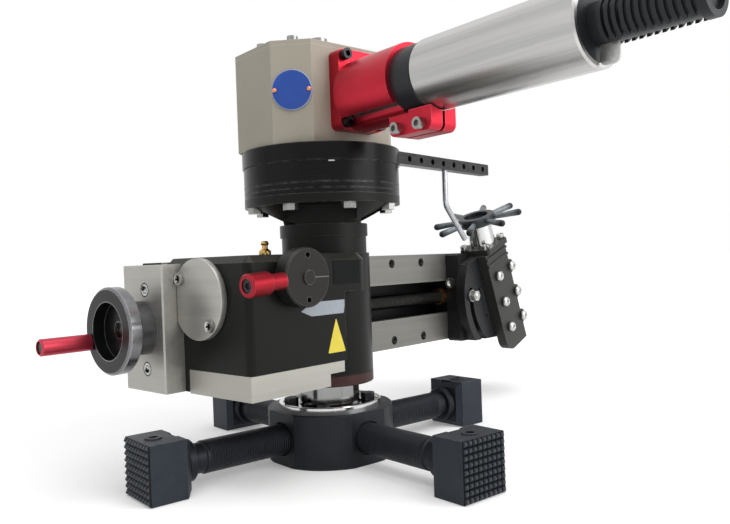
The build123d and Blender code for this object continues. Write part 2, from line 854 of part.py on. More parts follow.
# Plain round disc on the head's bevelled corner
facet = gear_head_frame * Pos(facet_out, -facet_across, direction_disc_height) * Rot(0, 0, -45) * Rot(0, 90, 0)
nodes["direction_disc"] = facet * chamfer(
    rod(direction_disc_radius - small_edge, 0, direction_disc_thickness).edges().group_by(Axis.Z)[-1],
    small_edge,
)

# Adapter: a flange on the head, then a round clamp split at a lug below the motor
flange_middle = motor_height - (adapter_flange_low + adapter_flange_high) / 2
flange_height = adapter_flange_high - adapter_flange_low
flange_screw_places = []
for down in (-1, 1):
    for side in (-1, 1):
        depth = flange_middle + down * (flange_height / 2 - flange_screw_inset)
        flange_screw_places.append((depth, side * flange_screw_across))


def make_adapter():
    """Flanged clamp along the motor axis, with its grooves, lug and split."""
    flange = Pos(flange_middle, 0) * RectangleRounded(flange_height, adapter_flange_half_width * 2, adapter_flange_corner)
    body = Pos(0, 0, head_front) * extrude(flange, adapter_flange_end - head_front)
    body += rod(adapter_radius, adapter_flange_end, adapter_end)
    lug = block(0, adapter_lug_drop, -adapter_lug_half_width, adapter_lug_half_width, adapter_lug_start, adapter_lug_end)
    lug = fillet(lug.edges().filter_by(Axis.Y).group_by(Axis.X)[-1], adapter_lug_corner)
    body += lug
    for x, y in flange_screw_places:
        body -= Pos(x, y, 0) * rod(adapter_groove_radius, adapter_flange_end, adapter_end + overrun)
        body -= Pos(x, y, 0) * rod(cap_m5_radius, head_front - overrun, adapter_flange_end + overrun)
    body -= rod(spindle_radius + edge_break, head_front - overrun, motor_body_start)
    body -= rod(motor_body_radius, motor_body_start, adapter_end + overrun)
    body -= rod(sleeve_radius + adapter_lug_gap, adapter_end, adapter_lug_end + overrun)
    split = block(0, adapter_lug_drop + overrun, -adapter_slot / 2, adapter_slot / 2, motor_body_start, adapter_lug_end + overrun)
    body -= split
    for along in adapter_screw_places:
        screw_hole = Rot(90, 0, 0) * rod(adapter_screw_radius, -adapter_lug_half_width - overrun, adapter_lug_half_width + overrun)
        body -= Pos(adapter_screw_depth, 0, along) * screw_hole
    return body


nodes["motor_adapter"] = motor_frame * make_adapter()
flange_screw = Pos(0, 0, adapter_flange_end) * socket_screw(
    cap_m5_head_radius, cap_m5_head_height, cap_m5_radius, adapter_flange_end - head_front
)
nodes["adapter_screws"] = [motor_frame * Pos(x, y, 0) * flange_screw for x, y in flange_screw_places]
lug_screw = Pos(0, 0, adapter_lug_half_width) * socket_screw(
    adapter_screw_head_radius, cap_m5_head_height, adapter_screw_radius, adapter_lug_half_width * 2
)
for along in adapter_screw_places:
    nodes["adapter_screws"].append(motor_frame * Pos(adapter_screw_depth, 0, along) * Rot(90, 0, 0) * lug_screw)

# Air motor: fixed cylinder, end plates, black collar and ribbed exhaust
motor_shell = tube(motor_body_radius, motor_bore_radius, motor_body_start, motor_body_end)
front_plate = tube(motor_bore_radius, spindle_radius + running_fit, motor_body_start, motor_body_start + motor_wall_end)
rear_plate = tube(motor_bore_radius, spindle_radius + running_fit, motor_body_end - motor_wall_end, motor_body_end)
nodes["motor_cylinder"] = motor_frame * fused([motor_shell, front_plate, rear_plate])
motor_collar = tube(collar_radius, motor_body_radius, adapter_end, collar_end)
nodes["motor_collar"] = motor_frame * chamfer(motor_collar.edges().group_by(Axis.Z)[-1].sort_by(SortBy.RADIUS)[-1], edge_break)


def make_exhaust():
    """Cap on the motor's end, with a ribbed silencer cut flat on two sides."""
    body = rod(motor_body_radius, motor_body_end, motor_body_end + sleeve_lip * 3)
    body += rod(muffler_root_radius, motor_body_end, muffler_end)
    pitch = (muffler_end - muffler_start) / muffler_fins
    flats = block(-muffler_fin_radius, muffler_fin_radius, -muffler_root_radius / 2, muffler_root_radius / 2,
                  muffler_start, muffler_end)
    for number in range(muffler_fins):
        base = muffler_start + pitch * number
        body += rod(muffler_fin_radius, base, base + pitch * muffler_fin_share) - flats
    body += rod(muffler_fin_radius, muffler_end, muffler_cap_end)
    body -= rod(muffler_root_radius - edge_break * 2, muffler_cap_end - muffler_cap_recess, muffler_cap_end + overrun)
    return body


nodes["exhaust"] = motor_frame * make_exhaust()

# Throttle sleeve: it turns on the motor to let the air in
sleeve = turned([
    (motor_body_radius + running_fit, collar_end + part_gap),
    (sleeve_radius - sleeve_lip, collar_end + part_gap),
    (sleeve_radius, collar_end + part_gap + sleeve_lip),
    (sleeve_radius, sleeve_end - sleeve_lip),
    (sleeve_radius - sleeve_lip, sleeve_end),
    (motor_body_radius + running_fit, sleeve_end),
])
nodes["throttle_sleeve"] = motor_frame * sleeve

# Spindle with its bevel pinion, and the slotted rotor with its vanes
bevel_half_tooth = 180 / bevel_pinion_teeth
spindle_end = motor_body_end - motor_wall_end / 2
bevel_pinion = Pos(0, 0, -gear_centres) * Rot(180, 0, 0) * make_bevel(bevel_pinion_teeth, bevel_gear_teeth, bevel_half_tooth)
rotor_body = rod(rotor_radius, rotor_start, rotor_end)
vanes = []
for number in range(rotor_vanes):
    vane = block(rotor_radius / 2, rotor_radius, -rotor_vane_slot / 2, rotor_vane_slot / 2, rotor_start, rotor_end)
    vanes.append(motor_frame * Rot(0, 0, 360 / rotor_vanes * number) * vane)
    rotor_body -= Rot(0, 0, 360 / rotor_vanes * number) * block(
        rotor_radius / 2, rotor_radius + overrun, -rotor_vane_slot / 2, rotor_vane_slot / 2, rotor_start, rotor_end
    )
rotor_body += rod(spindle_radius, spindle_back - gear_centres, spindle_end)
nodes["motor_spindle"] = [motor_frame * rotor_body, motor_frame * bevel_pinion] + vanes

# Trip bar on the rim of the upper disc, and the bent rod that trips the star wheel
trip_frame = Pos(trip_bar_start_x, trip_bar_start_y, trip_bar_bottom) * Rot(0, 0, trip_bar_slope)
trip_hole_places = [trip_hole_first + trip_hole_pitch * number for number in range(trip_hole_count)]
trip_rod_place = trip_hole_first + trip_hole_pitch * trip_rod_hole_number


def make_trip_bar():
    """Square bar, rounded at the free end and cut to the disc's rim at the other."""
    half = trip_bar_side / 2
    bar = block(-trip_bar_side * 1.5, trip_bar_length, -half, half, 0, trip_bar_side)
    bar = fillet(bar.edges().filter_by(Axis.Z).group_by(Axis.X)[-1], half / 2)
    for place in trip_hole_places:
        bar -= Pos(place, 0, half) * Rot(90, 0, 0) * rod(trip_hole_radius, -trip_bar_side, trip_bar_side)
    bar -= Pos(trip_rod_place, 0, 0) * rod(trip_rod_radius, -overrun, half)
    return trip_frame * bar - rod(upper_disc_radius, trip_bar_bottom - overrun, trip_bar_bottom + trip_bar_side + overrun)


def make_trip_rod():
    """Round rod bent outwards halfway down."""
    half = trip_bar_side / 2
    path = FilletPolyline(
        (0, 0, half),
        (0, 0, -trip_rod_straight),
        (trip_rod_run, 0, -trip_rod_straight - trip_rod_drop),
        radius=trip_rod_bend_radius,
    )
    section = Plane(origin=path @ 0, z_dir=path % 0) * Circle(trip_rod_radius)
    return trip_frame * Pos(trip_rod_place, 0, 0) * sweep(section, path=path)


nodes["trip_bar"] = make_trip_bar()
nodes["trip_rod"] = make_trip_rod()

# Round cover on the left wall of the box, with two button screws
cover_place = Pos(box_left, cover_middle_y, round_cover_height) * left_face_frame


def make_round_cover():
    """Disc cut straight where the end block stands beside it."""
    disc = rod(round_cover_radius, 0, round_cover_thickness)
    disc = chamfer(disc.edges().group_by(Axis.Z)[-1], edge_break)
    edge = round_cover_flat - cover_middle_y
    disc -= block(-round_cover_radius, round_cover_radius, edge, round_cover_radius, -overrun, overrun * 2)
    for angle in cover_screw_angles:
        disc -= around(round_cover_radius * cover_screw_circle_share, angle) * rod(m4_radius, -overrun, overrun * 2)
    return disc


nodes["round_cover"] = cover_place * make_round_cover()
nodes["arm_screws"] = []
for angle in cover_screw_angles:
    screw = Pos(0, 0, round_cover_thickness) * socket_screw(
        button_head_radius, button_head_height, m4_radius, round_cover_thickness
    )
    nodes["arm_screws"].append(cover_place * around(round_cover_radius * cover_screw_circle_share, angle) * screw)

# Arm: a channelled body, two front rails and an end block and end plate that carry the lead screw
channel_bottom = lower_rail_top - tee_overlap
channel_top = upper_rail_bottom + tee_overlap
rail_back = rail_front + rail_thickness
block_screw_places = [(block_screw_y, height) for height in block_screw_heights]
rail_screw_rows = (rail_screw_height, lower_rail_top + upper_rail_bottom - rail_screw_height)
rail_screw_places = []
for row in rail_screw_rows:
    for number in range(rail_screw_count):
        rail_screw_places.append((rail_screw_first + rail_screw_pitch * number, row))


def make_arm():
    """Long bar with a channel along it, open towards the rails."""
    arm = block(box_left, arm_end - arm_end_thickness, rail_back, arm_back, arm_bottom, arm_top)
    arm = chamfer(arm.edges().filter_by(Axis.X).group_by(Axis.Y)[-1], edge_break)
    arm -= block(box_left - overrun, arm_end, rail_back - overrun, rail_back + slot_depth, channel_bottom, channel_top)
    for x, z in rail_screw_places:
        arm -= Pos(x, rail_back, z) * Rot(90, 0, 0) * rod(cap_m5_radius, -cap_m5_reach, overrun)
    return arm


def make_rail(low, high):
    """Flat rail in front of the arm, with counterbored screw holes."""
    rail = block(box_left, arm_end - arm_end_thickness, rail_front, rail_back, low, high)
    for x, z in rail_screw_places:
        if low < z < high:
            place = Pos(x, rail_front, z) * Rot(90, 0, 0)
            rail -= place * rod(cap_m5_head_radius + part_gap, -cap_m5_head_height, overrun)
            rail -= place * rod(cap_m5_radius, -rail_thickness - overrun, overrun)
    return rail


nodes["arm_body"] = make_arm()
nodes["arm_rails"] = [make_rail(upper_rail_bottom, arm_top), make_rail(arm_bottom, lower_rail_top)]
rail_screw = socket_screw(
    cap_m5_head_radius, cap_m5_head_height, cap_m5_radius, cap_m5_reach + rail_thickness - cap_m5_head_height
)
for x, z in rail_screw_places:
    place = Pos(x, rail_front + cap_m5_head_height, z) * Rot(90, 0, 0)
    nodes["arm_screws"].append(place * rail_screw)

arm_plate = block(arm_end - arm_end_thickness, arm_end, rail_front, arm_back, arm_bottom, arm_top)
arm_plate = chamfer(arm_plate.edges().group_by(Axis.X)[-1], edge_break)
arm_plate -= screw_frame * rod(journal_radius + running_fit, 0, arm_end + overrun)


def make_end_block():
    """Bearing block on the arm's left end, with two counterbored screws."""
    body = block(block_left, box_left, block_front, block_back, block_bottom, block_top)
    body = chamfer(body.edges().group_by(Axis.X)[0], edge_break)
    body -= screw_frame * rod(journal_radius + running_fit, block_left - overrun, 0)
    for y, z in block_screw_places:
        place = Pos(block_left, y, z) * left_face_frame
        body -= place * rod(cap_m6_head_radius + part_gap, -cap_m6_counterbore, overrun)
        body -= place * rod(cap_m6_radius, block_left - box_left - overrun, overrun)
    return body


nodes["arm_ends"] = [make_end_block(), arm_plate]
block_screw = Pos(0, 0, -cap_m6_counterbore) * socket_screw(
    cap_m6_head_radius, cap_m6_head_height, cap_m6_radius, box_left - block_left - cap_m6_counterbore
)
nodes["arm_screws"] += [Pos(block_left, y, z) * left_face_frame * block_screw for y, z in block_screw_places]

# Lead screw, with the handwheel on its end and the crank handle on the wheel
wheel_back = wheel_face + wheel_rim_width
wheel_hub_end = block_left - part_gap
lead_screw = turned([
    (0, wheel_face + wheel_mouth_depth),
    (journal_radius, wheel_face + wheel_mouth_depth),
    (journal_radius, box_left + edge_break),
    (lead_screw_radius, box_left + edge_break * 2),
    (lead_screw_radius, arm_end - arm_end_thickness - edge_break * 2),
    (journal_radius, arm_end - arm_end_thickness - edge_break),
    (journal_radius, arm_end - edge_break),
    (0, arm_end - edge_break),
])
handwheel = turned([
    (journal_radius, wheel_face + wheel_mouth_depth),
    (wheel_mouth_radius, wheel_face + wheel_mouth_depth),
    (wheel_mouth_radius, wheel_face),
    (wheel_radius - wheel_edge, wheel_face),
    (wheel_radius, wheel_face + wheel_edge),
    (wheel_radius, wheel_back - wheel_edge),
    (wheel_radius - wheel_edge, wheel_back),
    (wheel_hub_radius, wheel_back),
    (wheel_hub_radius, wheel_hub_end),
    (journal_radius, wheel_hub_end),
])
crank_place = Rot(0, 0, crank_angle) * Pos(crank_circle, 0, 0)
handwheel -= crank_place * rod(crank_bolt_radius, wheel_face - overrun, wheel_back + overrun)
nodes["handwheel"] = screw_frame * handwheel
crank_tip = wheel_face - part_gap - crank_length
nodes["crank_handle"] = screw_frame * crank_place * turned([
    (crank_bolt_radius + running_fit, wheel_face - part_gap),
    (crank_radius - edge_break, wheel_face - part_gap),
    (crank_radius, wheel_face - part_gap - edge_break),
    (crank_radius, crank_tip + edge_break),
    (crank_radius - edge_break, crank_tip),
    (crank_recess_radius + part_gap, crank_tip),
    (crank_recess_radius + part_gap, crank_tip + crank_recess_depth),
    (crank_bolt_radius + running_fit, crank_tip + crank_recess_depth),
])
crank_bolt = crank_place * turned([
    (0, crank_tip + edge_break),
    (crank_recess_radius, crank_tip + edge_break),
    (crank_recess_radius, crank_tip + crank_recess_depth - part_gap),
    (crank_bolt_radius, crank_tip + crank_recess_depth - part_gap),
    (crank_bolt_radius, wheel_back),
    (0, wheel_back),
])
nodes["lead_screw"] = [screw_frame * lead_screw, screw_frame * crank_bolt]

# Feed dial on the front of the box, with the lever that turns it
dial_frame = Pos(dial_x, box_front - dial_gap, dial_z) * Rot(90, 0, 0)


def make_dial():
    """Round dial on a stem, with a centre boss and two blind holes."""
    dial = rod(dial_radius, 0, dial_thickness)
    dial = chamfer(dial.edges().filter_by(GeomType.CIRCLE), edge_break)
    dial += rod(dial_boss_radius, dial_thickness, dial_thickness + dial_boss_height)
    dial += rod(dial_stem_radius, -dial_stem_length, 0)
    for side in (-1, 1):
        dial -= Pos(0, side * dial_hole_circle, 0) * rod(dial_hole_radius, dial_thickness - dial_hole_depth, dial_thickness + overrun)
    return dial


nodes["feed_dial"] = dial_frame * make_dial()
lever_head_start = dial_radius + lever_neck_length
lever = turned([
    (0, dial_radius / 2),
    (lever_neck_radius, dial_radius / 2),
    (lever_neck_radius, lever_head_start),
    (lever_head_radius - edge_break, lever_head_start),
    (lever_head_radius, lever_head_start + edge_break),
    (lever_head_radius, lever_head_start + lever_head_length - edge_break),
    (lever_head_radius - edge_break, lever_head_start + lever_head_length),
    (lever_recess_radius, lever_head_start + lever_head_length),
    (lever_recess_radius, lever_head_start + lever_head_length - lever_recess_depth),
    (0, lever_head_start + lever_head_length - lever_recess_depth),
])
lever_frame = Pos(0, 0, lever_height) * Rot(0, 0, 180 + lever_tilt) * Rot(0, 90, 0)
nodes["feed_lever"] = dial_frame * (lever_frame * lever - rod(dial_radius, -overrun, dial_thickness + overrun))
lever_screw_place = Pos(0, 0, lever_head_start + lever_head_length - lever_recess_depth)
lever_screw = rod(lever_recess_radius - part_gap, 0, lever_recess_depth - edge_break)
lever_screw -= hex_bar(lever_recess_radius, lever_recess_depth / 2, lever_recess_depth)
nodes["lever_screw"] = dial_frame * lever_frame * lever_screw_place * lever_screw

# Grease nipple on top of the box
nodes["grease_nipple"] = Pos(nipple_x, nipple_y, box_top) * turned([
    (0, 0),
    (nipple_radius, 0),
    (nipple_radius, nipple_height / 3),
    (nipple_radius / 2, nipple_height / 2),
    (nipple_radius / 2, nipple_height * 0.7),
    (nipple_radius * 0.7, nipple_height * 0.8),
    (nipple_radius / 2, nipple_height),
    (0, nipple_height),
])

# Carriage: a saddle in front of the rails, with a neck and tee behind them and a bronze lead nut
swivel_frame = Pos(pivot_x, 0, pivot_z)
tee_left = carriage_left + carriage_tee_inset
tee_right = carriage_right - carriage_tee_inset
feed_plate_top = slide_top + feed_plate_thickness
feed_plate_left = feed_u - feed_plate_width / 2
feed_plate_right = feed_u + feed_plate_width / 2
stud_x = pivot_x - slot_circle


def make_carriage():
    """Saddle with its tee, the bearing for the swivel boss and the relief for the feed plate."""
    saddle = block(carriage_left, carriage_right, carriage_front, carriage_back, carriage_bottom, carriage_top)
    saddle = chamfer(saddle.edges().filter_by(Axis.Y), carriage_edge)
    neck_low = lower_rail_top + part_gap
    neck_high = upper_rail_bottom - part_gap
    body = saddle + block(tee_left, tee_right, carriage_back, rail_back + part_gap, neck_low, neck_high)
    tee_back = rail_back + slot_depth - edge_break * 4
    body += block(tee_left, tee_right, rail_back + part_gap, tee_back, channel_bottom + edge_break, channel_top - edge_break)
    body -= screw_frame * rod(lead_nut_radius, carriage_left - overrun, carriage_left + lead_nut_length)
    body -= screw_frame * rod(lead_screw_radius + edge_break, carriage_left, carriage_right + overrun)
    boss_hole = rod(pivot_boss_radius + running_fit, -carriage_front - pivot_boss_depth - part_gap * 2, -carriage_front + overrun)
    body -= swivel_frame * Rot(90, 0, 0) * boss_hole
    relief = block(feed_plate_left - part_gap, feed_plate_right, 0, feed_plate_back + part_gap,
                   slide_top - part_gap, feed_plate_top + overrun)
    for tilt in (0, swivel_tilt_more / 2, swivel_tilt_more):
        body -= swivel_frame * Rot(0, -head_lean - tilt, 0) * relief
    return body


nodes["carriage"] = make_carriage()
nodes["lead_nut"] = screw_frame * tube(
    lead_nut_radius, lead_screw_radius + running_fit, carriage_left - lead_nut_proud, carriage_left + lead_nut_length
)
stud_frame = Pos(stud_x, base_front, pivot_z) * Rot(90, 0, 0)
nut_low = stud_washer_thickness + part_gap
stud_length = base_thickness + part_gap
swivel_stud = rod(stud_radius, -stud_length, nut_low + stud_nut_height + edge_break)
stud_nut = hex_bar(stud_nut_across, nut_low, nut_low + stud_nut_height) - rod(stud_radius, 0, nut_low + stud_nut_height * 2)
nodes["stud_washer"] = stud_frame * tube(stud_washer_radius, stud_radius, part_gap, nut_low)
saddle_screw = socket_screw(button_head_radius, button_head_height, m4_radius, 0)
saddle_place = Pos(carriage_left, carriage_screw_y, carriage_screw_z) * left_face_frame
nodes["carriage_stud"] = [stud_frame * swivel_stud, stud_frame * stud_nut, saddle_place * saddle_screw]

# Swivel base: a sector plate on a round boss, with the curved slot for the stud
base_back = base_front + base_thickness
way_middle = (slide_left + slide_right) / 2


def way_outline(clearance):
    """Dovetail across the slide: narrow at the base, wide at its face."""
    low = base_front + overrun
    face = base_front - way_depth - clearance
    slope = way_flare / way_depth
    wide = way_half_width + clearance
    narrow = wide - slope * (low - face)
    return make_face(Polyline(
        (way_middle - narrow, low), (way_middle + narrow, low),
        (way_middle + wide, face), (way_middle - wide, face), close=True,
    ))


def make_swivel_base():
    """Sector plate with its dovetail, boss, curved slot and screw groove."""
    sector = Circle(base_radius) & Pos((base_right - base_radius) / 2, 0) * Rectangle(base_radius + base_right, base_half_height * 2)
    slot_arc = CenterArc((0, 0), slot_circle, 180 - head_lean - slot_start_angle, slot_start_angle + slot_end_angle)
    sector -= SlotArc(slot_arc, slot_width)
    base = front_slab(sector, base_front, base_back)
    base += Pos(0, 0, -base_half_height) * extrude(way_outline(0), base_half_height * 2)
    groove = rod(feed_groove_radius, feed_screw_bottom - overrun, base_half_height + overrun)
    base -= Pos(feed_u, feed_y, 0) * groove
    base -= block(feed_u - feed_groove_radius, feed_u + feed_groove_radius, feed_y, base_back + overrun,
                  feed_screw_bottom - overrun, base_half_height + overrun)
    base += Rot(90, 0, 0) * rod(pivot_boss_radius, -base_back - pivot_boss_depth, -base_back)
    for b in gib_screw_places:
        place = Pos(gib_screw_u, base_front, b) * Rot(90, 0, 0)
        base -= place * rod(gib_screw_radius + part_gap, -cap_m5_head_height, overrun)
    return base


nodes["swivel_base"] = [tool_frame * make_swivel_base()]
gib_screw = socket_screw(gib_screw_radius, cap_m5_head_height - edge_break, m4_radius, 0)
for b in gib_screw_places:
    place = Pos(gib_screw_u, base_front + cap_m5_head_height, b) * Rot(90, 0, 0)
    nodes["swivel_base"].append(tool_frame * place * gib_screw)
feed_nut = block(feed_u - feed_groove_radius, feed_u + feed_groove_radius, feed_y, base_back, feed_nut_low, feed_nut_high)
feed_nut += Pos(feed_u, feed_y, 0) * rod(feed_groove_radius, feed_nut_low, feed_nut_high)
feed_nut -= Pos(feed_u, feed_y, 0) * rod(feed_screw_radius + running_fit, feed_nut_low - overrun, feed_nut_high + overrun)
nodes["feed_nut"] = tool_frame * feed_nut

# Tool slide with round lobes beside its outer bolts, and the six bolts that clamp a tool bit
slide_front = base_front - slide_thickness
slide_back = base_front - part_gap


def make_tool_slide():
    """Plate with lobes down its free edge, a rounded foot and two raised ridges."""
    width = slide_right - slide_left
    height = slide_top - slide_bottom
    plate = Pos(way_middle, (slide_top + slide_bottom) / 2) * Rectangle(width, height)
    plate = fillet(plate.vertices().group_by(Axis.Y)[0].sort_by(Axis.X)[0], slide_foot_radius)
    for b in bolt_rows:
        plate += Pos(bolt_columns[1], b) * Circle(slide_lobe_radius)
    body = front_slab(plate, slide_front, slide_back)
    for b in ridge_places:
        ridge = block(slide_left, slide_right, slide_front - ridge_height, slide_front, b - ridge_width / 2, b + ridge_width / 2)
        body += chamfer(ridge.edges().filter_by(Axis.X).group_by(Axis.Y)[0], small_edge)
    body -= Pos(0, 0, slide_bottom - overrun) * extrude(way_outline(part_gap), height + overrun * 2)
    for u in bolt_columns:
        for b in bolt_rows:
            body -= Pos(u, slide_front, b) * Rot(90, 0, 0) * rod(tool_bolt_radius, -tool_bolt_reach, overrun)
    return body


nodes["tool_slide"] = tool_frame * make_tool_slide()
bolt_neck = tool_bolt_proud - tool_bolt_head_height
tool_bolt = Pos(0, 0, bolt_neck) * socket_screw(
    tool_bolt_head_radius, tool_bolt_head_height, tool_bolt_radius, tool_bolt_reach + bolt_neck
)
nodes["tool_bolts"] = []
for u in bolt_columns:
    for b in bolt_rows:
        nodes["tool_bolts"].append(tool_frame * Pos(u, slide_front, b) * Rot(90, 0, 0) * tool_bolt)

# Feed plate on top of the slide, and the polished collar that carries the star wheel
feed_plate = block(feed_plate_left, feed_plate_right, feed_plate_front, feed_plate_back, slide_top, feed_plate_top)
feed_plate = chamfer(feed_plate.edges().filter_by(Axis.Z), carriage_edge)
feed_plate -= Pos(feed_u, feed_y, 0) * rod(feed_screw_radius + running_fit, 0, feed_plate_top + overrun)
nodes["feed_plate"] = tool_frame * feed_plate
plate_screw = socket_screw(cap_m5_head_radius, cap_m5_head_height, cap_m5_radius, 0)
for du in (-feed_plate_screw_spread / 2, feed_plate_screw_spread / 2):
    for dy in (-feed_plate_screw_depth / 2, feed_plate_screw_depth / 2):
        nodes["tool_bolts"].append(tool_frame * Pos(feed_u + du, feed_y + dy, feed_plate_top) * plate_screw)
star_base = star_top - star_ring_height
feed_collar = tube(feed_collar_radius, feed_screw_radius + running_fit, feed_plate_top, star_base - part_gap)
nodes["feed_collar"] = tool_frame * Pos(feed_u, feed_y, 0) * feed_collar


def make_star_wheel():
    """Ring with a sunk middle and eight spokes that grow thicker towards their round tips."""
    wheel = rod(star_ring_radius, star_base, star_top) - rod(star_bore_radius, star_top - star_bore_depth, star_top + overrun)
    middle = (star_base + star_top) / 2
    reach = star_tip_radius - star_spoke_tip
    spoke = Pos(star_bore_radius + edge_break, 0, middle) * Rot(0, 90, 0) * Cone(
        star_spoke_root, star_spoke_tip, reach - star_bore_radius - edge_break, align=LOW
    )
    spoke += Pos(reach, 0, middle) * Sphere(star_spoke_tip)
    for number in range(star_spokes):
        wheel += Rot(0, 0, star_first_angle + 360 / star_spokes * number) * spoke
    return wheel


nodes["star_wheel"] = tool_frame * Pos(feed_u, feed_y, 0) * make_star_wheel()
nodes["feed_screw"] = tool_frame * Pos(feed_u, feed_y, 0) * rod(feed_screw_radius, feed_screw_bottom, star_base)

# Every named piece goes into its own file
os.makedirs("parts", exist_ok=True)
for name, shape in nodes.items():
    export_step(Compound(children=shape) if isinstance(shape, list) else shape, f"parts/{name}.step")
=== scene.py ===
import bpy
import json
import math
from mathutils import Matrix, Vector


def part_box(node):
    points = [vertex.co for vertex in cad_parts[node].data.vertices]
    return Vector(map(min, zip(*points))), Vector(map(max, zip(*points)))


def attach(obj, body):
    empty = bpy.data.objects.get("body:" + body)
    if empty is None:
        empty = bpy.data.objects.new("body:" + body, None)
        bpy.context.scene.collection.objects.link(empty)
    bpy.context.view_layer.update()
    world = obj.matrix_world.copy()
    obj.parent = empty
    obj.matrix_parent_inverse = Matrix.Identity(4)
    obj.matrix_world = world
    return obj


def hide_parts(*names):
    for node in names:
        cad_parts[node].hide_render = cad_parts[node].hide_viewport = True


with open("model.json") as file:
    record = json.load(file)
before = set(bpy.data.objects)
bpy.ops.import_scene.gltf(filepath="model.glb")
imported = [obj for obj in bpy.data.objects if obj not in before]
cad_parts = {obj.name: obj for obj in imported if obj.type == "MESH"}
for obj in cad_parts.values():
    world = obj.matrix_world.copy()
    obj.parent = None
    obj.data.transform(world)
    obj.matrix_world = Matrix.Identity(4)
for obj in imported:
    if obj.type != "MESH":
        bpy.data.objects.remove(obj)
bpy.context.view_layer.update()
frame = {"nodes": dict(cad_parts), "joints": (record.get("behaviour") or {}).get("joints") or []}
nodes = frame["nodes"]
bpy.ops.object.select_all(action="DESELECT")

# Camera at the height of the arm, on the side of the dial, a little turned about its own line of
# sight, with the wide lens that the photograph was taken with.
camera_data = bpy.data.cameras.new("view")
camera_data.lens = 35.507
camera_data.sensor_width = 36.0
camera_data.clip_start = 0.01
camera = bpy.data.objects.new("view", camera_data)
bpy.context.scene.collection.objects.link(camera)
to_right = Vector((0.66859, -0.74273, -0.03664))
to_top = Vector((0.02711, -0.02490, 0.99932))
stands_at = (-0.42323, -0.42589, 0.1603)
camera.matrix_world = Matrix.Translation(stands_at) @ Matrix(
    (to_right, to_top, to_right.cross(to_top))
).transposed().to_4x4()
bpy.context.scene.camera = camera
bpy.context.scene.view_settings.view_transform = "Standard"

# Chuck hub, its four legs and their toothed pads: steel blackened in a hot salt bath, which leaves
# a blue-black skin that is rubbed grey along the edges and the tips of the teeth.
class Shade:
    """One value of a finish: a sum on it adds the nodes for that sum."""

    def __init__(self, finish, socket):
        self.finish = finish
        self.socket = socket

    def sum(self, operation, first, second=0.0):
        return self.finish.node("ShaderNodeMath", {"operation": operation}, first, second)

    def __add__(self, other):
        return self.sum("ADD", self, other)

    def __sub__(self, other):
        return self.sum("SUBTRACT", self, other)

    def __rsub__(self, other):
        return self.sum("SUBTRACT", other, self)

    def __mul__(self, other):
        return self.sum("MULTIPLY", self, other)

    def __pow__(self, other):
        return self.sum("POWER", self, other)

    def __gt__(self, other):
        return self.sum("GREATER_THAN", self, other)

    def __lt__(self, other):
        return self.sum("LESS_THAN", self, other)

    __radd__ = __add__
    __rmul__ = __mul__

    def clipped(self, low, high):
        """0 below low, 1 above high, and a straight line between them."""
        return self.finish.node("ShaderNodeMapRange", {"clamp": True}, self, low, high, 0.0, 1.0)

    def to_and_fro(self, reach):
        """Runs up to reach and back down to 0, again and again."""
        return self.sum("PINGPONG", self, reach)

    def angle_over(self, beside):
        return self.sum("ARCTAN2", self, beside)

    def or_more(self, other):
        return self.sum("MAXIMUM", self, other)


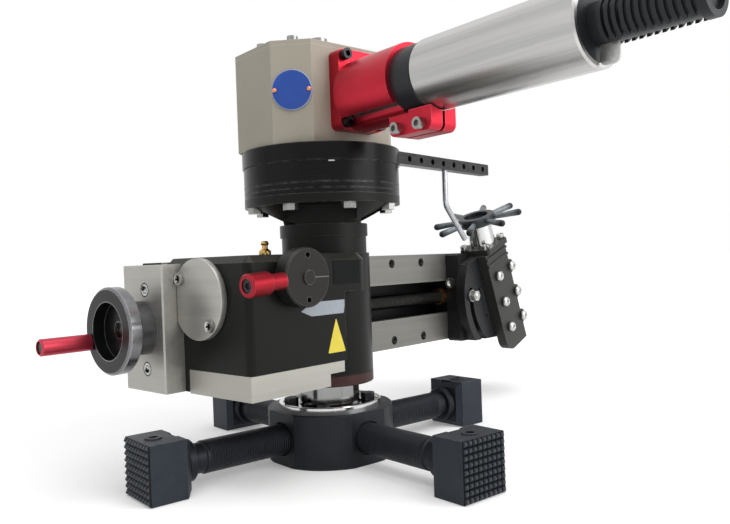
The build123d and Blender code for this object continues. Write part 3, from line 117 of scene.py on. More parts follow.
class Finish:
    """The material of one kind of surface, with its place in the object's own metres."""

    def __init__(self, name, metal, rough, colour, shine=0.5):
        self.material = bpy.data.materials.new(name)
        self.material.use_nodes = True
        self.tree = self.material.node_tree
        self.shader = self.tree.nodes["Principled BSDF"]
        self.shader.inputs["Metallic"].default_value = metal
        self.shader.inputs["Roughness"].default_value = rough
        self.shader.inputs["Base Color"].default_value = (*colour, 1.0)
        self.shader.inputs["Specular IOR Level"].default_value = shine
        self.place = self.node("ShaderNodeTexCoord", {}, output="Object")

    def feed(self, socket, value):
        if isinstance(value, Shade):
            self.tree.links.new(value.socket, socket)
        elif value is not None:
            short = socket.type == "RGBA" and len(value) == 3
            socket.default_value = (*value, 1.0) if short else value

    def node(self, kind, settings, *values, output=0):
        made = self.tree.nodes.new(kind)
        for word, value in settings.items():
            setattr(made, word, value)
        for spot, value in enumerate(values):
            self.feed(made.inputs[spot], value)
        return Shade(self, made.outputs[output]) if made.outputs else None

    def grain(self, scale, detail=3.0, stretch=(1.0, 1.0, 1.0)):
        """Cloudy noise from 0 to 1, drawn out along the axes that stretch makes small."""
        spread = self.node("ShaderNodeMapping", {}, self.place, None, None, stretch)
        return self.node("ShaderNodeTexNoise", {}, spread, None, scale, detail, 0.6)

    def axis(self, name):
        """One of the object's own coordinates, in metres."""
        return self.node("ShaderNodeSeparateXYZ", {}, self.place, output=name)

    def apart(self, point, place=None):
        """Distance from a point, in metres."""
        return self.node("ShaderNodeVectorMath", {"operation": "DISTANCE"}, place or self.place,
                         tuple(point), output="Value")

    def rings(self, value, scale, detail=3.0, rough=0.6):
        """Noise that changes with one value only, as the lines of a lathe tool do."""
        return self.node("ShaderNodeTexNoise", {"noise_dimensions": "1D"}, None, value, scale,
                         detail, rough)

    def mix(self, share, first, second):
        """The first colour at share 0 and the second at share 1."""
        unused = [None] * 5
        return self.node("ShaderNodeMix", {"data_type": "RGBA"}, share, *unused, first, second,
                         output=2)

    def edges(self, width):
        """1 along the edges and 0 on open faces."""
        soft = self.node("ShaderNodeBevel", {"samples": 4}, width)
        true = self.node("ShaderNodeNewGeometry", {}, output="Normal")
        along = self.node(
            "ShaderNodeVectorMath", {"operation": "DOT_PRODUCT"}, soft, true, output="Value"
        )
        return (1.0 - along).clipped(0.02, 0.2)

    def wear(self, **sockets):
        for word, value in sockets.items():
            self.feed(self.shader.inputs[word.replace("_", " ").title()], value)

    def relief(self, height, depth):
        """Height from 0 to 1 becomes relief of that depth in metres."""
        bump = self.node("ShaderNodeBump", {}, 1.0, depth, None, height)
        self.feed(self.shader.inputs["Normal"], bump)

    def onto(self, *names):
        for name in names:
            nodes[name].data.materials.clear()
            nodes[name].data.materials.append(self.material)


def blackened(name, rub, cast):
    finish = Finish(name, 0.55, 0.42, cast, 0.22)
    cloud = finish.grain(90.0)
    fine = finish.grain(1600.0, 2.0)
    edge = finish.edges(0.0007) * finish.grain(300.0).clipped(0.35, 0.6)
    bath = finish.mix(cloud, [part * 0.75 for part in cast], [part * 1.3 for part in cast])
    finish.skin = finish.mix(edge * rub, bath, (0.3, 0.31, 0.33))
    finish.wear(base_color=finish.skin, roughness=0.34 + cloud * 0.16 + fine * 0.06)
    finish.relief(fine * 0.5 + cloud * 0.5, 0.00006)
    return finish


hub_black = blackened("hub_black", 0.35, (0.019, 0.021, 0.025))
hub_black.onto("chuck_hub")

# Pads: the same steel. Their teeth are 2.4 mm high, paler towards the tips and near-black in the
# grooves between them. Each pad's own line points away from the axis, 21 mm above the ground.
leg_sides = ("back_right", "back_left", "front_left", "front_right")
leg_height = 0.021
first_leg, leg_step = -8.0, 90.0
tooth_root, tooth_tip = 0.1661, 0.1685


def leg_line(finish, number):
    """The finish's place, turned so that X runs out along that leg."""
    turn = math.radians(first_leg + leg_step * number)
    return finish.node("ShaderNodeMapping", {"vector_type": "TEXTURE"}, finish.place,
                       (0.0, 0.0, leg_height), (0.0, 0.0, turn))


for number, side in enumerate(leg_sides):
    pad = blackened("pad_" + side + "_black", 0.45, (0.027, 0.032, 0.041))
    outwards = pad.node("ShaderNodeSeparateXYZ", {}, leg_line(pad, number), output="X")
    tip = outwards.clipped(tooth_root + 0.0003, tooth_tip - 0.0003)
    toothed = outwards > tooth_root - 0.0001
    tooth = pad.mix(tip, (0.0018, 0.0022, 0.0028), (0.075, 0.086, 0.104))
    pad.wear(base_color=pad.mix(toothed, pad.skin, tooth))
    pad.onto("pad_" + side)

# Legs: the same blackened steel. A rolled thread of 2 mm pitch runs from the hub to the plain neck,
# and its crests are rubbed a little paler.
thread_start, thread_end, thread_pitch, thread_depth = 0.03, 0.1165, 0.002, 0.0006
for number, side in enumerate(leg_sides):
    leg = blackened("leg_thread_" + side, 0.2, (0.016, 0.018, 0.023))
    turned = leg_line(leg, number)
    along = leg.node("ShaderNodeSeparateXYZ", {}, turned, output="X")
    over = leg.node("ShaderNodeSeparateXYZ", {}, turned, output="Z")
    beside = leg.node("ShaderNodeSeparateXYZ", {}, turned, output="Y")
    wound = over.angle_over(beside) * (1.0 / math.pi)
    ridge = (along * (2.0 / thread_pitch) + wound).to_and_fro(1.0)
    threaded = (along < thread_end) * (along > thread_start)
    leg.relief(ridge * threaded, thread_depth)
    crest = ridge.clipped(0.7, 1.0) * threaded * 0.22
    leg.wear(base_color=leg.mix(crest, leg.skin, (0.08, 0.085, 0.1)))
    leg.onto("leg_" + side)

# Clamp ring, mandrel and feed collar: ground bearing steel, left bright. Fine lines from the grinding
# wheel run round them. The mandrel is painted darker, a painted reflection of the parts round it.
for name, dark, light, turned_parts in (
    ("mandrel_painted_reflection", 0.15, 0.34, ["mandrel"]),
    ("bright_ground", 0.45, 0.75, ["hub_ring", "feed_collar", "main_bearings"]),
):
    ground = Finish(name, 1.0, 0.16, (light, light, light))
    lines = ground.grain(120.0, 4.0, (0.05, 0.05, 40.0))
    smear = ground.grain(35.0, 3.0)
    ground.wear(base_color=ground.mix(
        lines * 0.55 + smear * 0.45, (dark, dark, dark), (light, light, light * 0.98)
    ))
    ground.wear(roughness=0.08 + lines * 0.14)
    ground.relief(lines, 0.00001)
    ground.onto(*turned_parts)

# Screws: black heads on the chuck and the feed lever, dull plated ones on the bell and the gear head,
# and bright plated ones on the clamp's lug, whose other two, by the head, are black.
dark_screw = blackened("dark_screw", 0.7, (0.03, 0.03, 0.033))
dark_screw.onto("hub_bolts", "lever_screw")


def plated(name, dull=0.32, fresh=0.7):
    finish = Finish(name, 1.0, 0.28, (fresh, fresh, fresh))
    cloud = finish.grain(500.0)
    finish.coat = finish.mix(cloud, (dull, dull, dull * 0.97), (fresh, fresh, fresh * 0.97))
    finish.wear(base_color=finish.coat, roughness=0.2 + cloud * 0.25)
    return finish


plated("dull_screw", 0.14, 0.42).onto("bell_bolts", "head_screws", "stud_washer")
clamp_screw = plated("clamp_screw")
lug_starts = -0.09
plated_share = (clamp_screw.axis("Y") < lug_starts) * 0.55
clamp_screw.wear(base_color=clamp_screw.mix(plated_share, (0.03, 0.03, 0.032), clamp_screw.coat))
clamp_screw.onto("adapter_screws")

# Turning housing, arm, bell, carriage and swivel base: iron and steel under a thin, even near-black
# coat with a silky shine and a faint green cast. Faces that look up are painted paler in soft
# patches, as painted light from above.
def near_black(name, cast, rub, shine):
    finish = Finish(name, 0.1, 0.36, cast, shine)
    patch = finish.grain(24.0)
    speck = finish.grain(2200.0, 2.0)
    edge = finish.edges(0.0006) * finish.grain(260.0).clipped(0.38, 0.6)
    coat = finish.mix(patch, [part * 0.8 for part in cast], [part * 1.25 for part in cast])
    # Painted light: faces that look up are mixed towards a paler grey, as light from above.
    facing = finish.node("ShaderNodeTexCoord", {}, output="Normal")
    upward = finish.node("ShaderNodeSeparateXYZ", {}, facing, output="Z").clipped(0.4, 0.95)
    coat = finish.mix(upward * (0.25 + patch * 0.3), coat, (0.075, 0.075, 0.066))
    finish.wear(base_color=finish.mix(edge * rub, coat, (0.2, 0.2, 0.19)))
    finish.wear(roughness=0.27 + patch * 0.14 + speck * 0.06)
    finish.relief(speck * 0.6 + patch * 0.4, 0.00004)
    return finish


near_black("housing_black", (0.0066, 0.0074, 0.006), 0.6, 0.13).onto("swivel_housing", "bell")
near_black("arm_black", (0.0055, 0.0056, 0.0055), 0.4, 0.16).onto("arm_body")
carriage_black = near_black("carriage_black", (0.015, 0.0155, 0.017), 0.5, 0.2)
carriage_black.onto("carriage")
near_black("slide_grey", (0.034, 0.034, 0.032), 0.5, 0.2).onto("tool_slide", "feed_plate")


# Bare plates on the housing's front: a pale grey one below the dial, a small yellow three-cornered one
# and a dark band across the shelf, bent round the column. Thin enamelled sheet, glued on.
def set_down(piece, name, place, finish, body):
    """Names a finished piece, puts its place in its mesh, and lets it ride on a body."""
    piece.name = name
    piece.data.name = name
    piece.data.transform(place)
    piece.data.materials.append(finish.material)
    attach(piece, body)
    piece.select_set(False)


def thicken(thickness, edge):
    """Gives the flat piece in hand its thickness, upwards, and breaks its upper edges."""
    bpy.ops.object.mode_set(mode="EDIT")
    bpy.ops.mesh.select_all(action="SELECT")
    bpy.ops.mesh.extrude_region_move(TRANSFORM_OT_translate={"value": (0.0, 0.0, thickness)})
    bpy.ops.mesh.bevel(offset=edge, segments=2)
    bpy.ops.mesh.select_all(action="SELECT")
    bpy.ops.mesh.normals_make_consistent(inside=False)
    bpy.ops.object.mode_set(mode="OBJECT")


def cut(point, outwards):
    """Cuts away what lies outside a line across the flat piece in hand."""
    bpy.ops.mesh.select_all(action="SELECT")
    bpy.ops.mesh.bisect(
        plane_co=(*point, 0.0), plane_no=(*outwards, 0.0), clear_outer=True, use_fill=False
    )


housing_front = -0.055


def on_front(x, z):
    """A place on the housing's front: the piece's own X runs right, its Y up and its Z outwards."""
    return Matrix(((1, 0, 0, x), (0, 0, -1, housing_front), (0, 1, 0, z), (0, 0, 0, 1)))


def enamel(name, dark, light, rough, shine=0.35):
    finish = Finish(name, 0.0, rough, light, shine)
    cloud = finish.grain(160.0)
    fine = finish.grain(1800.0, 2.0)
    edge = finish.edges(0.0004)
    finish.wear(base_color=finish.mix(cloud, dark, light))
    finish.wear(roughness=rough - 0.06 + cloud * 0.1 + fine * 0.06 + edge * 0.1)
    finish.relief(fine, 0.00002)
    return finish


sheet, sheet_edge = 0.0003, 0.00012
grey_width, grey_height, grey_across, grey_middle = 0.044, 0.01, -0.058, 0.1263
bpy.ops.mesh.primitive_plane_add(size=1.0)
grey_plate = bpy.context.object
bpy.ops.object.mode_set(mode="EDIT")
bpy.ops.transform.resize(value=(grey_width, grey_height, 1.0))
cut((-0.012, -0.005), (-0.37, -0.93))
cut((0.0208, -0.005), (0.98, -0.2))
cut((-0.0205, 0.0), (-0.45, 0.89))
thicken(sheet, sheet_edge)
set_down(grey_plate, "grey_plate", on_front(grey_across, grey_middle), enamel(
    "plate_grey", (0.26, 0.29, 0.32), (0.34, 0.37, 0.41), 0.4
), "turning_arm")

yellow_reach, yellow_corner, yellow_across, yellow_middle = 0.012, 0.0012, -0.0456, 0.1026
slim, tall = 0.88, 1.4
bpy.ops.mesh.primitive_circle_add(vertices=3, radius=yellow_reach, fill_type="NGON")
yellow_plate = bpy.context.object
bpy.ops.object.mode_set(mode="EDIT")
bpy.ops.transform.resize(value=(slim, tall, 1.0))
bpy.ops.mesh.select_all(action="SELECT")
bpy.ops.mesh.bevel(offset=yellow_corner, segments=3, affect="VERTICES")
thicken(sheet, sheet_edge)
set_down(yellow_plate, "yellow_plate", on_front(yellow_across, yellow_middle), enamel(
    "plate_yellow", (0.62, 0.5, 0.04), (0.74, 0.62, 0.07), 0.36
), "turning_arm")

bpy.ops.mesh.primitive_plane_add(size=1.0)
dark_band = bpy.context.object
bpy.ops.object.mode_set(mode="EDIT")
band_width, band_height, band_middle, band_end = 0.0285, 0.0175, 0.1515, -0.018
bpy.ops.transform.resize(value=(band_width, band_height, 1.0))
bpy.ops.object.mode_set(mode="OBJECT")
dark_band.data.transform(on_front(band_end - band_width / 2.0, band_middle))
bpy.ops.object.mode_set(mode="EDIT")
bpy.ops.mesh.select_mode(type="EDGE")
bpy.ops.mesh.select_all(action="DESELECT")
bpy.ops.object.mode_set(mode="OBJECT")
for edge in dark_band.data.edges:
    edge.select = all(dark_band.data.vertices[spot].co.x > band_end - 0.0005 for spot in edge.vertices)
bpy.ops.object.mode_set(mode="EDIT")
bend_radius, bend_turn = 0.012, math.radians(52.0)
bend_middle = (band_end, housing_front + bend_radius, band_middle)
bpy.ops.mesh.spin(steps=10, angle=bend_turn, center=bend_middle, axis=(0.0, 0.0, 1.0))
bpy.ops.mesh.select_all(action="SELECT")
bpy.ops.mesh.remove_doubles(threshold=0.000001)
bpy.ops.mesh.normals_make_consistent(inside=False)
bpy.ops.object.mode_set(mode="OBJECT")
wall = dark_band.modifiers.new("wall", "SOLIDIFY")
wall.thickness = sheet
wall.offset = 1.0
bpy.ops.object.modifier_apply(modifier=wall.name)
set_down(dark_band, "dark_band", Matrix(), enamel(
    "band_black", (0.002, 0.0024, 0.0026), (0.0035, 0.004, 0.0042), 0.34, 0.09
), "turning_arm")
bpy.ops.object.select_all(action="DESELECT")

# Gear discs: a glossier black over turned steel, so that the lathe's lines round the rim still show.
# Four of them, 3 mm apart on the lower disc, are deeper than the rest.
disc_black = Finish("disc_black", 0.3, 0.26, (0.006, 0.006, 0.006), 0.12)
turning = disc_black.grain(60.0, 5.0, (0.04, 0.04, 60.0))
edge = disc_black.edges(0.0008) * disc_black.grain(200.0).clipped(0.35, 0.6)
coat = disc_black.mix(turning, (0.004, 0.004, 0.0043), (0.01, 0.01, 0.0097))
height = disc_black.axis("Z")
lowest_groove, highest_groove, groove_gap, groove_half = 0.215, 0.224, 0.0015, 0.00016
grooves = ((height - lowest_groove).to_and_fro(groove_gap) < groove_half) * (
    height > lowest_groove - groove_gap) * (height < highest_groove + groove_gap)
disc_black.wear(base_color=disc_black.mix(edge * 0.45 + grooves * 0.022, coat, (0.26, 0.26, 0.26)))
disc_black.wear(roughness=0.16 + turning * 0.16)
disc_black.relief(turning * 0.4 + grooves, 0.00006)
disc_black.onto("upper_gear_disc", "lower_gear_disc")

# Trip bar: square steel with a row of holes, blackened and then worn to a dull grey on its faces and
# along its corners.
bar_steel = Finish("bar_steel", 0.8, 0.36, (0.1, 0.1, 0.1), 0.3)
scuff = bar_steel.grain(320.0, 4.0, (0.2, 1.0, 1.0))
edge = bar_steel.edges(0.0007)
bar_steel.wear(base_color=bar_steel.mix(
    scuff * 0.8 + edge * 0.4, (0.013, 0.0135, 0.014), (0.085, 0.085, 0.085)
))
bar_steel.wear(roughness=0.26 + scuff * 0.2)
bar_steel.relief(scuff, 0.00003)
bar_steel.onto("trip_bar")

# Index mark on the lower disc, just below the joint: a short white line, filled with paint, that the
# two discs are set by.
bpy.ops.mesh.primitive_plane_add(size=1.0)
index_mark = bpy.context.object
bpy.ops.object.mode_set(mode="EDIT")
mark_length, mark_width, mark_paint, mark_edge = 0.0046, 0.0009, 0.00025, 0.00008
bpy.ops.transform.resize(value=(mark_length, mark_width, 1.0))
thicken(mark_paint, mark_edge)
mark_angle, mark_reach, mark_height = math.radians(-128.0), 0.06395, 0.2351
mark_out = Vector((math.cos(mark_angle), math.sin(mark_angle), 0.0))
mark_along = Vector((-mark_out.y, mark_out.x, 0.0))
mark_place = Matrix((mark_along, (0.0, 0.0, 1.0), mark_out)).transposed().to_4x4()
mark_place.translation = mark_out * mark_reach + Vector((0.0, 0.0, mark_height))
set_down(index_mark, "index_mark", mark_place, enamel(
    "mark_white", (0.62, 0.62, 0.6), (0.75, 0.75, 0.73), 0.45
), "turning_arm")

# Gear head: cast aluminium, milled and sprayed warm grey with a fine texture. Dust and handling darken
# it in soft patches, and the paint is thin along the corners.
head_grey = Finish("head_grey", 0.0, 0.52, (0.33, 0.31, 0.26), 0.35)
orange_peel = head_grey.grain(1500.0, 2.0)
tone = head_grey.grain(14.0)
smut = head_grey.grain(70.0, 6.0).clipped(0.55, 0.85)
edge = head_grey.edges(0.0009)
paint = head_grey.mix(tone, (0.295, 0.27, 0.215), (0.355, 0.33, 0.275))
paint = head_grey.mix(smut * 0.3, paint, (0.2, 0.185, 0.15))
head_grey.wear(base_color=head_grey.mix(edge * 0.4, paint, (0.55, 0.54, 0.5)))
head_grey.wear(roughness=0.46 + orange_peel * 0.16)
head_grey.relief(orange_peel, 0.00008)
head_grey.onto("gear_head", "head_cover")

# Round disc on the head's corner: thin sheet, enamelled blue up to a narrow pale rim. Two domed copper
# rivets hold it.
disc_low, disc_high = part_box("direction_disc")
disc_angle = math.radians(-143.0)
disc_out = Vector((math.cos(disc_angle), math.sin(disc_angle), 0.0))
disc_face, pale_starts, pale_ends = 0.0007, 0.0147, 0.01495
disc_middle = (disc_low + disc_high) / 2.0 + disc_out * disc_face
blue_enamel = Finish("blue_enamel", 0.0, 0.3, (0.02, 0.06, 0.33), 0.35)
rim = blue_enamel.apart(disc_middle).clipped(pale_starts, pale_ends)
cloud = blue_enamel.grain(150.0)
coat = blue_enamel.mix(cloud, (0.012, 0.048, 0.25), (0.02, 0.075, 0.36))
blue_enamel.wear(base_color=blue_enamel.mix(rim * 0.7, coat, (0.4, 0.44, 0.52)))
blue_enamel.wear(roughness=0.24 + cloud * 0.14)
blue_enamel.onto("direction_disc")


def bare_metal(name, dark, light, scale, rough, metal=1.0, shine=0.5):
    """Metal without a coat, in soft clouds from dark to light."""
    finish = Finish(name, metal, rough + 0.1, light, shine)
    tarnish = finish.grain(scale)
    finish.wear(base_color=finish.mix(tarnish, dark, light), roughness=rough + tarnish * 0.2)
    return finish


copper = bare_metal("copper", (0.42, 0.16, 0.08), (0.75, 0.33, 0.18), 900.0, 0.22)
rivet_radius, rivet_reach, rivet_rise, rivet_flat = 0.0018, 0.0132, 0.0001, 0.6
along_disc = Vector((-disc_out.y, disc_out.x, 0.0))
disc_turn = disc_out.to_track_quat("Z", "Y").to_matrix().to_4x4()
for number, side in enumerate((-1.0, 1.0)):
    bpy.ops.mesh.primitive_uv_sphere_add(segments=24, ring_count=12, radius=rivet_radius)
    rivet = bpy.context.object
    bpy.ops.object.mode_set(mode="EDIT")
    bpy.ops.mesh.select_all(action="SELECT")
    bpy.ops.mesh.bisect(plane_co=(0, 0, 0), plane_no=(0, 0, 1), clear_inner=True, use_fill=True)
    bpy.ops.mesh.select_all(action="SELECT")
    bpy.ops.transform.resize(value=(1.0, 1.0, rivet_flat))
    bpy.ops.object.mode_set(mode="OBJECT")
    bpy.ops.object.shade_smooth_by_angle(angle=math.radians(40.0))
    spot = disc_middle + along_disc * side * rivet_reach + disc_out * rivet_rise
    set_down(rivet, "disc_rivet_" + str(number), Matrix.Translation(spot) @ disc_turn, copper,
             "chuck_and_drive")

# Motor clamp, feed lever and crank grip: aluminium with a red anodised skin, which is clear enough
# for the metal to shine through it. The skin is thin and pinkish where edges were turned.
def anodised(name, thin, thick):
    finish = Finish(name, 0.85, 0.34, thick, 0.2)
    drift = finish.grain(40.0)
    speck = finish.grain(2000.0, 2.0)
    edge = finish.edges(0.0009)
    skin = finish.mix(drift, thick, thin)
    finish.wear(base_color=finish.mix(edge * 0.45, skin, (0.72, 0.16, 0.2)))
    finish.wear(roughness=0.28 + drift * 0.1 + speck * 0.07)
    finish.relief(speck, 0.00003)
    return finish


anodised("clamp_red", (0.54, 0.027, 0.048), (0.39, 0.014, 0.028)).onto("motor_adapter")
anodised("lever_red", (0.33, 0.018, 0.028), (0.24, 0.01, 0.018)).onto("feed_lever")
anodised("crank_red", (0.5, 0.05, 0.075), (0.38, 0.035, 0.055)).onto("crank_handle")

# Throttle sleeve: drawn aluminium tube, polished along its length and clear anodised. Long streaks
# from the drawing run from end to end.
motor_turn, motor_height = math.radians(-98.0), 0.286
sleeve_bright = Finish("sleeve_bright", 1.0, 0.26, (0.5, 0.5, 0.49))
on_motor = sleeve_bright.node("ShaderNodeMapping", {"vector_type": "TEXTURE"}, sleeve_bright.place,
                              (0.0, 0.0, motor_height), (0.0, 0.0, motor_turn))
drawn = sleeve_bright.node("ShaderNodeMapping", {}, on_motor, None, None, (0.012, 1.0, 1.0))
streak = sleeve_bright.node("ShaderNodeTexNoise", {}, drawn, None, 90.0, 5.0, 0.65)
hair = sleeve_bright.node("ShaderNodeTexNoise", {}, drawn, None, 900.0, 3.0, 0.6)
sleeve_bright.wear(base_color=sleeve_bright.mix(
    streak.clipped(0.3, 0.7) * 0.7 + hair * 0.3, (0.31, 0.31, 0.305), (0.6, 0.59, 0.575)
))
sleeve_bright.wear(roughness=0.24 + hair * 0.12)
sleeve_bright.relief(hair, 0.00002)
sleeve_bright.onto("throttle_sleeve", "motor_cylinder")

# Hanging lug at the sleeve's end: a thin stamped tongue of bright steel under the silencer, with its
# lower corners rounded.
bpy.ops.mesh.primitive_plane_add(size=1.0)
hanging_lug = bpy.context.object
bpy.ops.object.mode_set(mode="EDIT")
lug_width, lug_corner, lug_reach, lug_drop = 0.0125, 0.0042, 0.2676, 0.0178
lug_sheet, lug_edge = 0.0012, 0.0003
bpy.ops.transform.resize(value=(lug_width, lug_width, 1.0))
bpy.ops.mesh.select_mode(type="VERT")
bpy.ops.mesh.select_all(action="DESELECT")
bpy.ops.object.mode_set(mode="OBJECT")
for corner in hanging_lug.data.vertices:
    corner.select = corner.co.y < 0.0
bpy.ops.object.mode_set(mode="EDIT")
bpy.ops.mesh.bevel(offset=lug_corner, segments=6, affect="VERTICES")
thicken(lug_sheet, lug_edge)
along_motor = Vector((math.cos(motor_turn), math.sin(motor_turn), 0.0))
beside_motor = Vector((along_motor.y, -along_motor.x, 0.0))
lug_place = Matrix((along_motor, (0.0, 0.0, 1.0), beside_motor)).transposed().to_4x4()
lug_place.translation = along_motor * lug_reach + Vector((0.0, 0.0, motor_height - lug_drop))
set_down(hanging_lug, "hanging_lug", lug_place, plated("lug_steel"), "chuck_and_drive")

# Collar and silencer: moulded black plastic with a dull shine and a bluish cast, rubbed paler along
# the ribs. The silencer screws into the motor's end.
black_plastic = Finish("black_plastic", 0.0, 0.42, (0.012, 0.013, 0.015), 0.25)
matt = black_plastic.grain(1200.0, 2.0)
worn = black_plastic.edges(0.0005) * black_plastic.grain(240.0).clipped(0.4, 0.65)
coat = black_plastic.mix(matt, (0.009, 0.01, 0.012), (0.018, 0.02, 0.023))
black_plastic.wear(base_color=black_plastic.mix(worn * 0.35, coat, (0.16, 0.17, 0.18)))
black_plastic.wear(roughness=0.34 + matt * 0.18)
black_plastic.relief(matt, 0.00006)
black_plastic.onto("motor_collar", "exhaust")

# End block, round cover, bottom plate and rails: nickel-plated steel plate, ground dull. The rails are
# given a darker grey.
def ground_plate(name, dark, light, stretch):
    finish = Finish(name, 0.75, 0.4, light, 0.4)
    grinding = finish.grain(180.0, 5.0, stretch)
    blotch = finish.grain(22.0, 4.0)
    edge = finish.edges(0.0006)
    plate = finish.mix(grinding * 0.65 + blotch * 0.35, dark, light)
    finish.wear(base_color=finish.mix(edge * 0.5, plate, (0.62, 0.61, 0.58)))
    finish.wear(roughness=0.3 + grinding * 0.16 + blotch * 0.06)
    finish.relief(grinding, 0.00003)
    return finish


block_ground = ground_plate("block_ground", (0.27, 0.262, 0.24), (0.52, 0.51, 0.475), (1.0, 0.02, 1.0))
block_ground.onto("arm_ends")
ground_plate(
    "plate_ground", (0.3, 0.29, 0.26), (0.45, 0.44, 0.4), (0.02, 0.02, 1.0)
).onto("bottom_plate")
ground_plate(
    "rail_ground", (0.13, 0.126, 0.116), (0.26, 0.255, 0.235), (0.02, 1.0, 1.0)
).onto("arm_rails")

# Round cover on the arm's end: a turned disc of the same plate with one flat side, against the block.
# Two button-head screws hold it, one up on the flat's side and one down on the other.
cover_face, cover_back, cover_radius, cover_flat = -0.131, -0.126, 0.0287, 0.0196
cover_across, cover_height = -0.004, 0.1367
bpy.ops.mesh.primitive_cylinder_add(vertices=96, radius=cover_radius, depth=cover_back - cover_face)
cover = bpy.context.object
cover_turn = Matrix.Rotation(math.radians(90.0), 4, "Y")
cover_turn.translation = ((cover_face + cover_back) / 2.0, cover_across, cover_height)
cover.data.transform(cover_turn)
bpy.ops.object.mode_set(mode="EDIT")
bpy.ops.mesh.select_all(action="SELECT")
bpy.ops.mesh.bisect(
    plane_co=(0.0, cover_flat, 0.0), plane_no=(0.0, 1.0, 0.0), clear_outer=True, use_fill=True
)
bpy.ops.object.mode_set(mode="OBJECT")


def break_edges(piece):
    """Rounds the sharp edges of the finished piece, as a file and a cloth do."""
    rounding = piece.modifiers.new("rounding", "BEVEL")
    rounding.width = 0.0007
    rounding.segments = 3
    rounding.limit_method = "ANGLE"
    bpy.ops.object.modifier_apply(modifier=rounding.name)


smooth_up_to = math.radians(35.0)
break_edges(cover)
bpy.ops.object.shade_smooth_by_angle(angle=smooth_up_to)
set_down(cover, "cover_dressed", Matrix(), block_ground, "turning_arm")
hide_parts("round_cover")

# Screws of the arm: black in the rails, bright in the end block and the round cover. The cover's two
# are drawn out to the plate's rim, one up by the flat and one down on the other side. Their sockets,
# and a ring round each of the block's two heads, are painted near-black as painted shade in the
# sockets and counterbores.
def merged_copy(node):
    """A copy of a node's mesh as a new object, with its loose triangles merged and in hand."""
    copy = bpy.data.objects.new(node, nodes[node].data.copy())
    copy.data.materials.clear()
    bpy.context.scene.collection.objects.link(copy)
    bpy.context.view_layer.objects.active = copy
    copy.select_set(True)
    bpy.ops.object.mode_set(mode="EDIT")
    bpy.ops.mesh.select_all(action="SELECT")
    bpy.ops.mesh.remove_doubles(threshold=0.000002)
    bpy.ops.object.mode_set(mode="OBJECT")
    return copy


def widen(piece, test, middle, growth, shift=(0.0, 0.0, 0.0)):
    """Scales the points that the test holds for about a middle, and then shifts them."""
    for point in piece.data.vertices:
        if test(point.co):
            point.co = [centre + (old - centre) * scale + move
                        for old, centre, scale, move in zip(point.co, middle, growth, shift)]


# The second colour is near-black painted shade, for the sockets and the block's counterbores.
rail_black, painted_socket_shade = (0.017, 0.017, 0.018), (0.006, 0.006, 0.006)
arm_screw = plated("arm_screw")
colour = arm_screw.mix(arm_screw.axis("X") < -0.11, rail_black, arm_screw.coat)
screws = merged_copy("arm_screws")
screw_reach, head_top, socket = 0.0085, -0.0068, 0.0025
for middle, shift in (
    (Vector((-0.126, 0.0148, 0.1235)), Vector((0.0, -0.0344, -0.0049))),
    (Vector((-0.126, -0.0228, 0.1499)), Vector((0.0, 0.038, 0.0013))),
):
    widen(screws, lambda spot: (spot - middle).length < screw_reach, middle, (1.0, 1.2, 1.2), shift)
    from_socket = arm_screw.apart(middle + shift + Vector((head_top, 0.0, 0.0)))
    colour = arm_screw.mix(from_socket < socket, colour, painted_socket_shade)
block_face, block_middle = -0.1426, 0.043
block_socket, block_head, block_screw = 0.0027, 0.0044, 0.02
# Painted shadow: the counterbore round each block screw's head, and its socket, are painted near-black.
for height in (0.0866, 0.144):
    from_socket = arm_screw.apart((block_face, block_middle, height))
    in_shadow = (from_socket > block_head) * (from_socket < block_screw)
    colour = arm_screw.mix(in_shadow, colour, painted_socket_shade)
    colour = arm_screw.mix(from_socket < block_socket, colour, painted_socket_shade)
arm_screw.wear(base_color=colour)
bpy.ops.object.shade_smooth_by_angle(angle=smooth_up_to)
set_down(screws, "arm_screws_dressed", Matrix(), arm_screw, "turning_arm")
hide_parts("arm_screws")

# Retainer ring under the column, lead nut and feed nut: cast bronze, turned. The ring is brown with
# age and oil, and the nuts are bright where the screws rub.
bare_metal(
    "brown_ring", (0.026, 0.012, 0.012), (0.07, 0.032, 0.03), 120.0, 0.34, metal=0.6, shine=0.3
).onto("retainer_ring")
bare_metal("bronze", (0.25, 0.14, 0.06), (0.5, 0.32, 0.14), 300.0, 0.28).onto("lead_nut", "feed_nut")

# Grease nipple on the housing, for the bearings: turned brass, pressed in. It is a third larger than
# the node's own, about its foot.
brass = bare_metal("brass", (0.42, 0.26, 0.08), (0.72, 0.5, 0.2), 400.0, 0.2)
nipple = merged_copy("grease_nipple")
nipple_foot, growth = (-0.044, 0.024, 0.166), 1.35
widen(nipple, lambda spot: True, nipple_foot, (growth, growth, growth))
bpy.ops.object.shade_smooth_by_angle(angle=smooth_up_to)
set_down(nipple, "grease_nipple_dressed", Matrix(), brass, "turning_arm")
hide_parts("grease_nipple")

# Lead screw in the arm's channel: steel with a rolled thread, kept very dark, darkest in the thread's
# roots. The feed screw, the ring gear and the shafts with bevel gears, all out of sight, are plain
# machined steel.
screw_beside, screw_height = 0.046, 0.1165
screw_steel = Finish("screw_steel", 1.0, 0.3, (0.3, 0.3, 0.3))
over = screw_steel.axis("Z") - screw_height
beside = screw_steel.axis("Y") - screw_beside
wound = over.angle_over(beside) * (1.0 / (2.0 * math.pi))
ridge = (screw_steel.axis("X") * 500.0 + wound).to_and_fro(0.5)
thread = (ridge * 2.0).clipped(0.25, 0.75)
screw_steel.wear(base_color=screw_steel.mix(thread, (0.012, 0.012, 0.012), (0.06, 0.058, 0.053)))
screw_steel.relief(thread, 0.0008)
screw_steel.onto("lead_screw")
bare_metal("gear_steel", (0.24, 0.24, 0.23), (0.42, 0.42, 0.41), 200.0, 0.2).onto(
    "feed_screw", "ring_gear", "pinion_shaft", "motor_spindle"
)

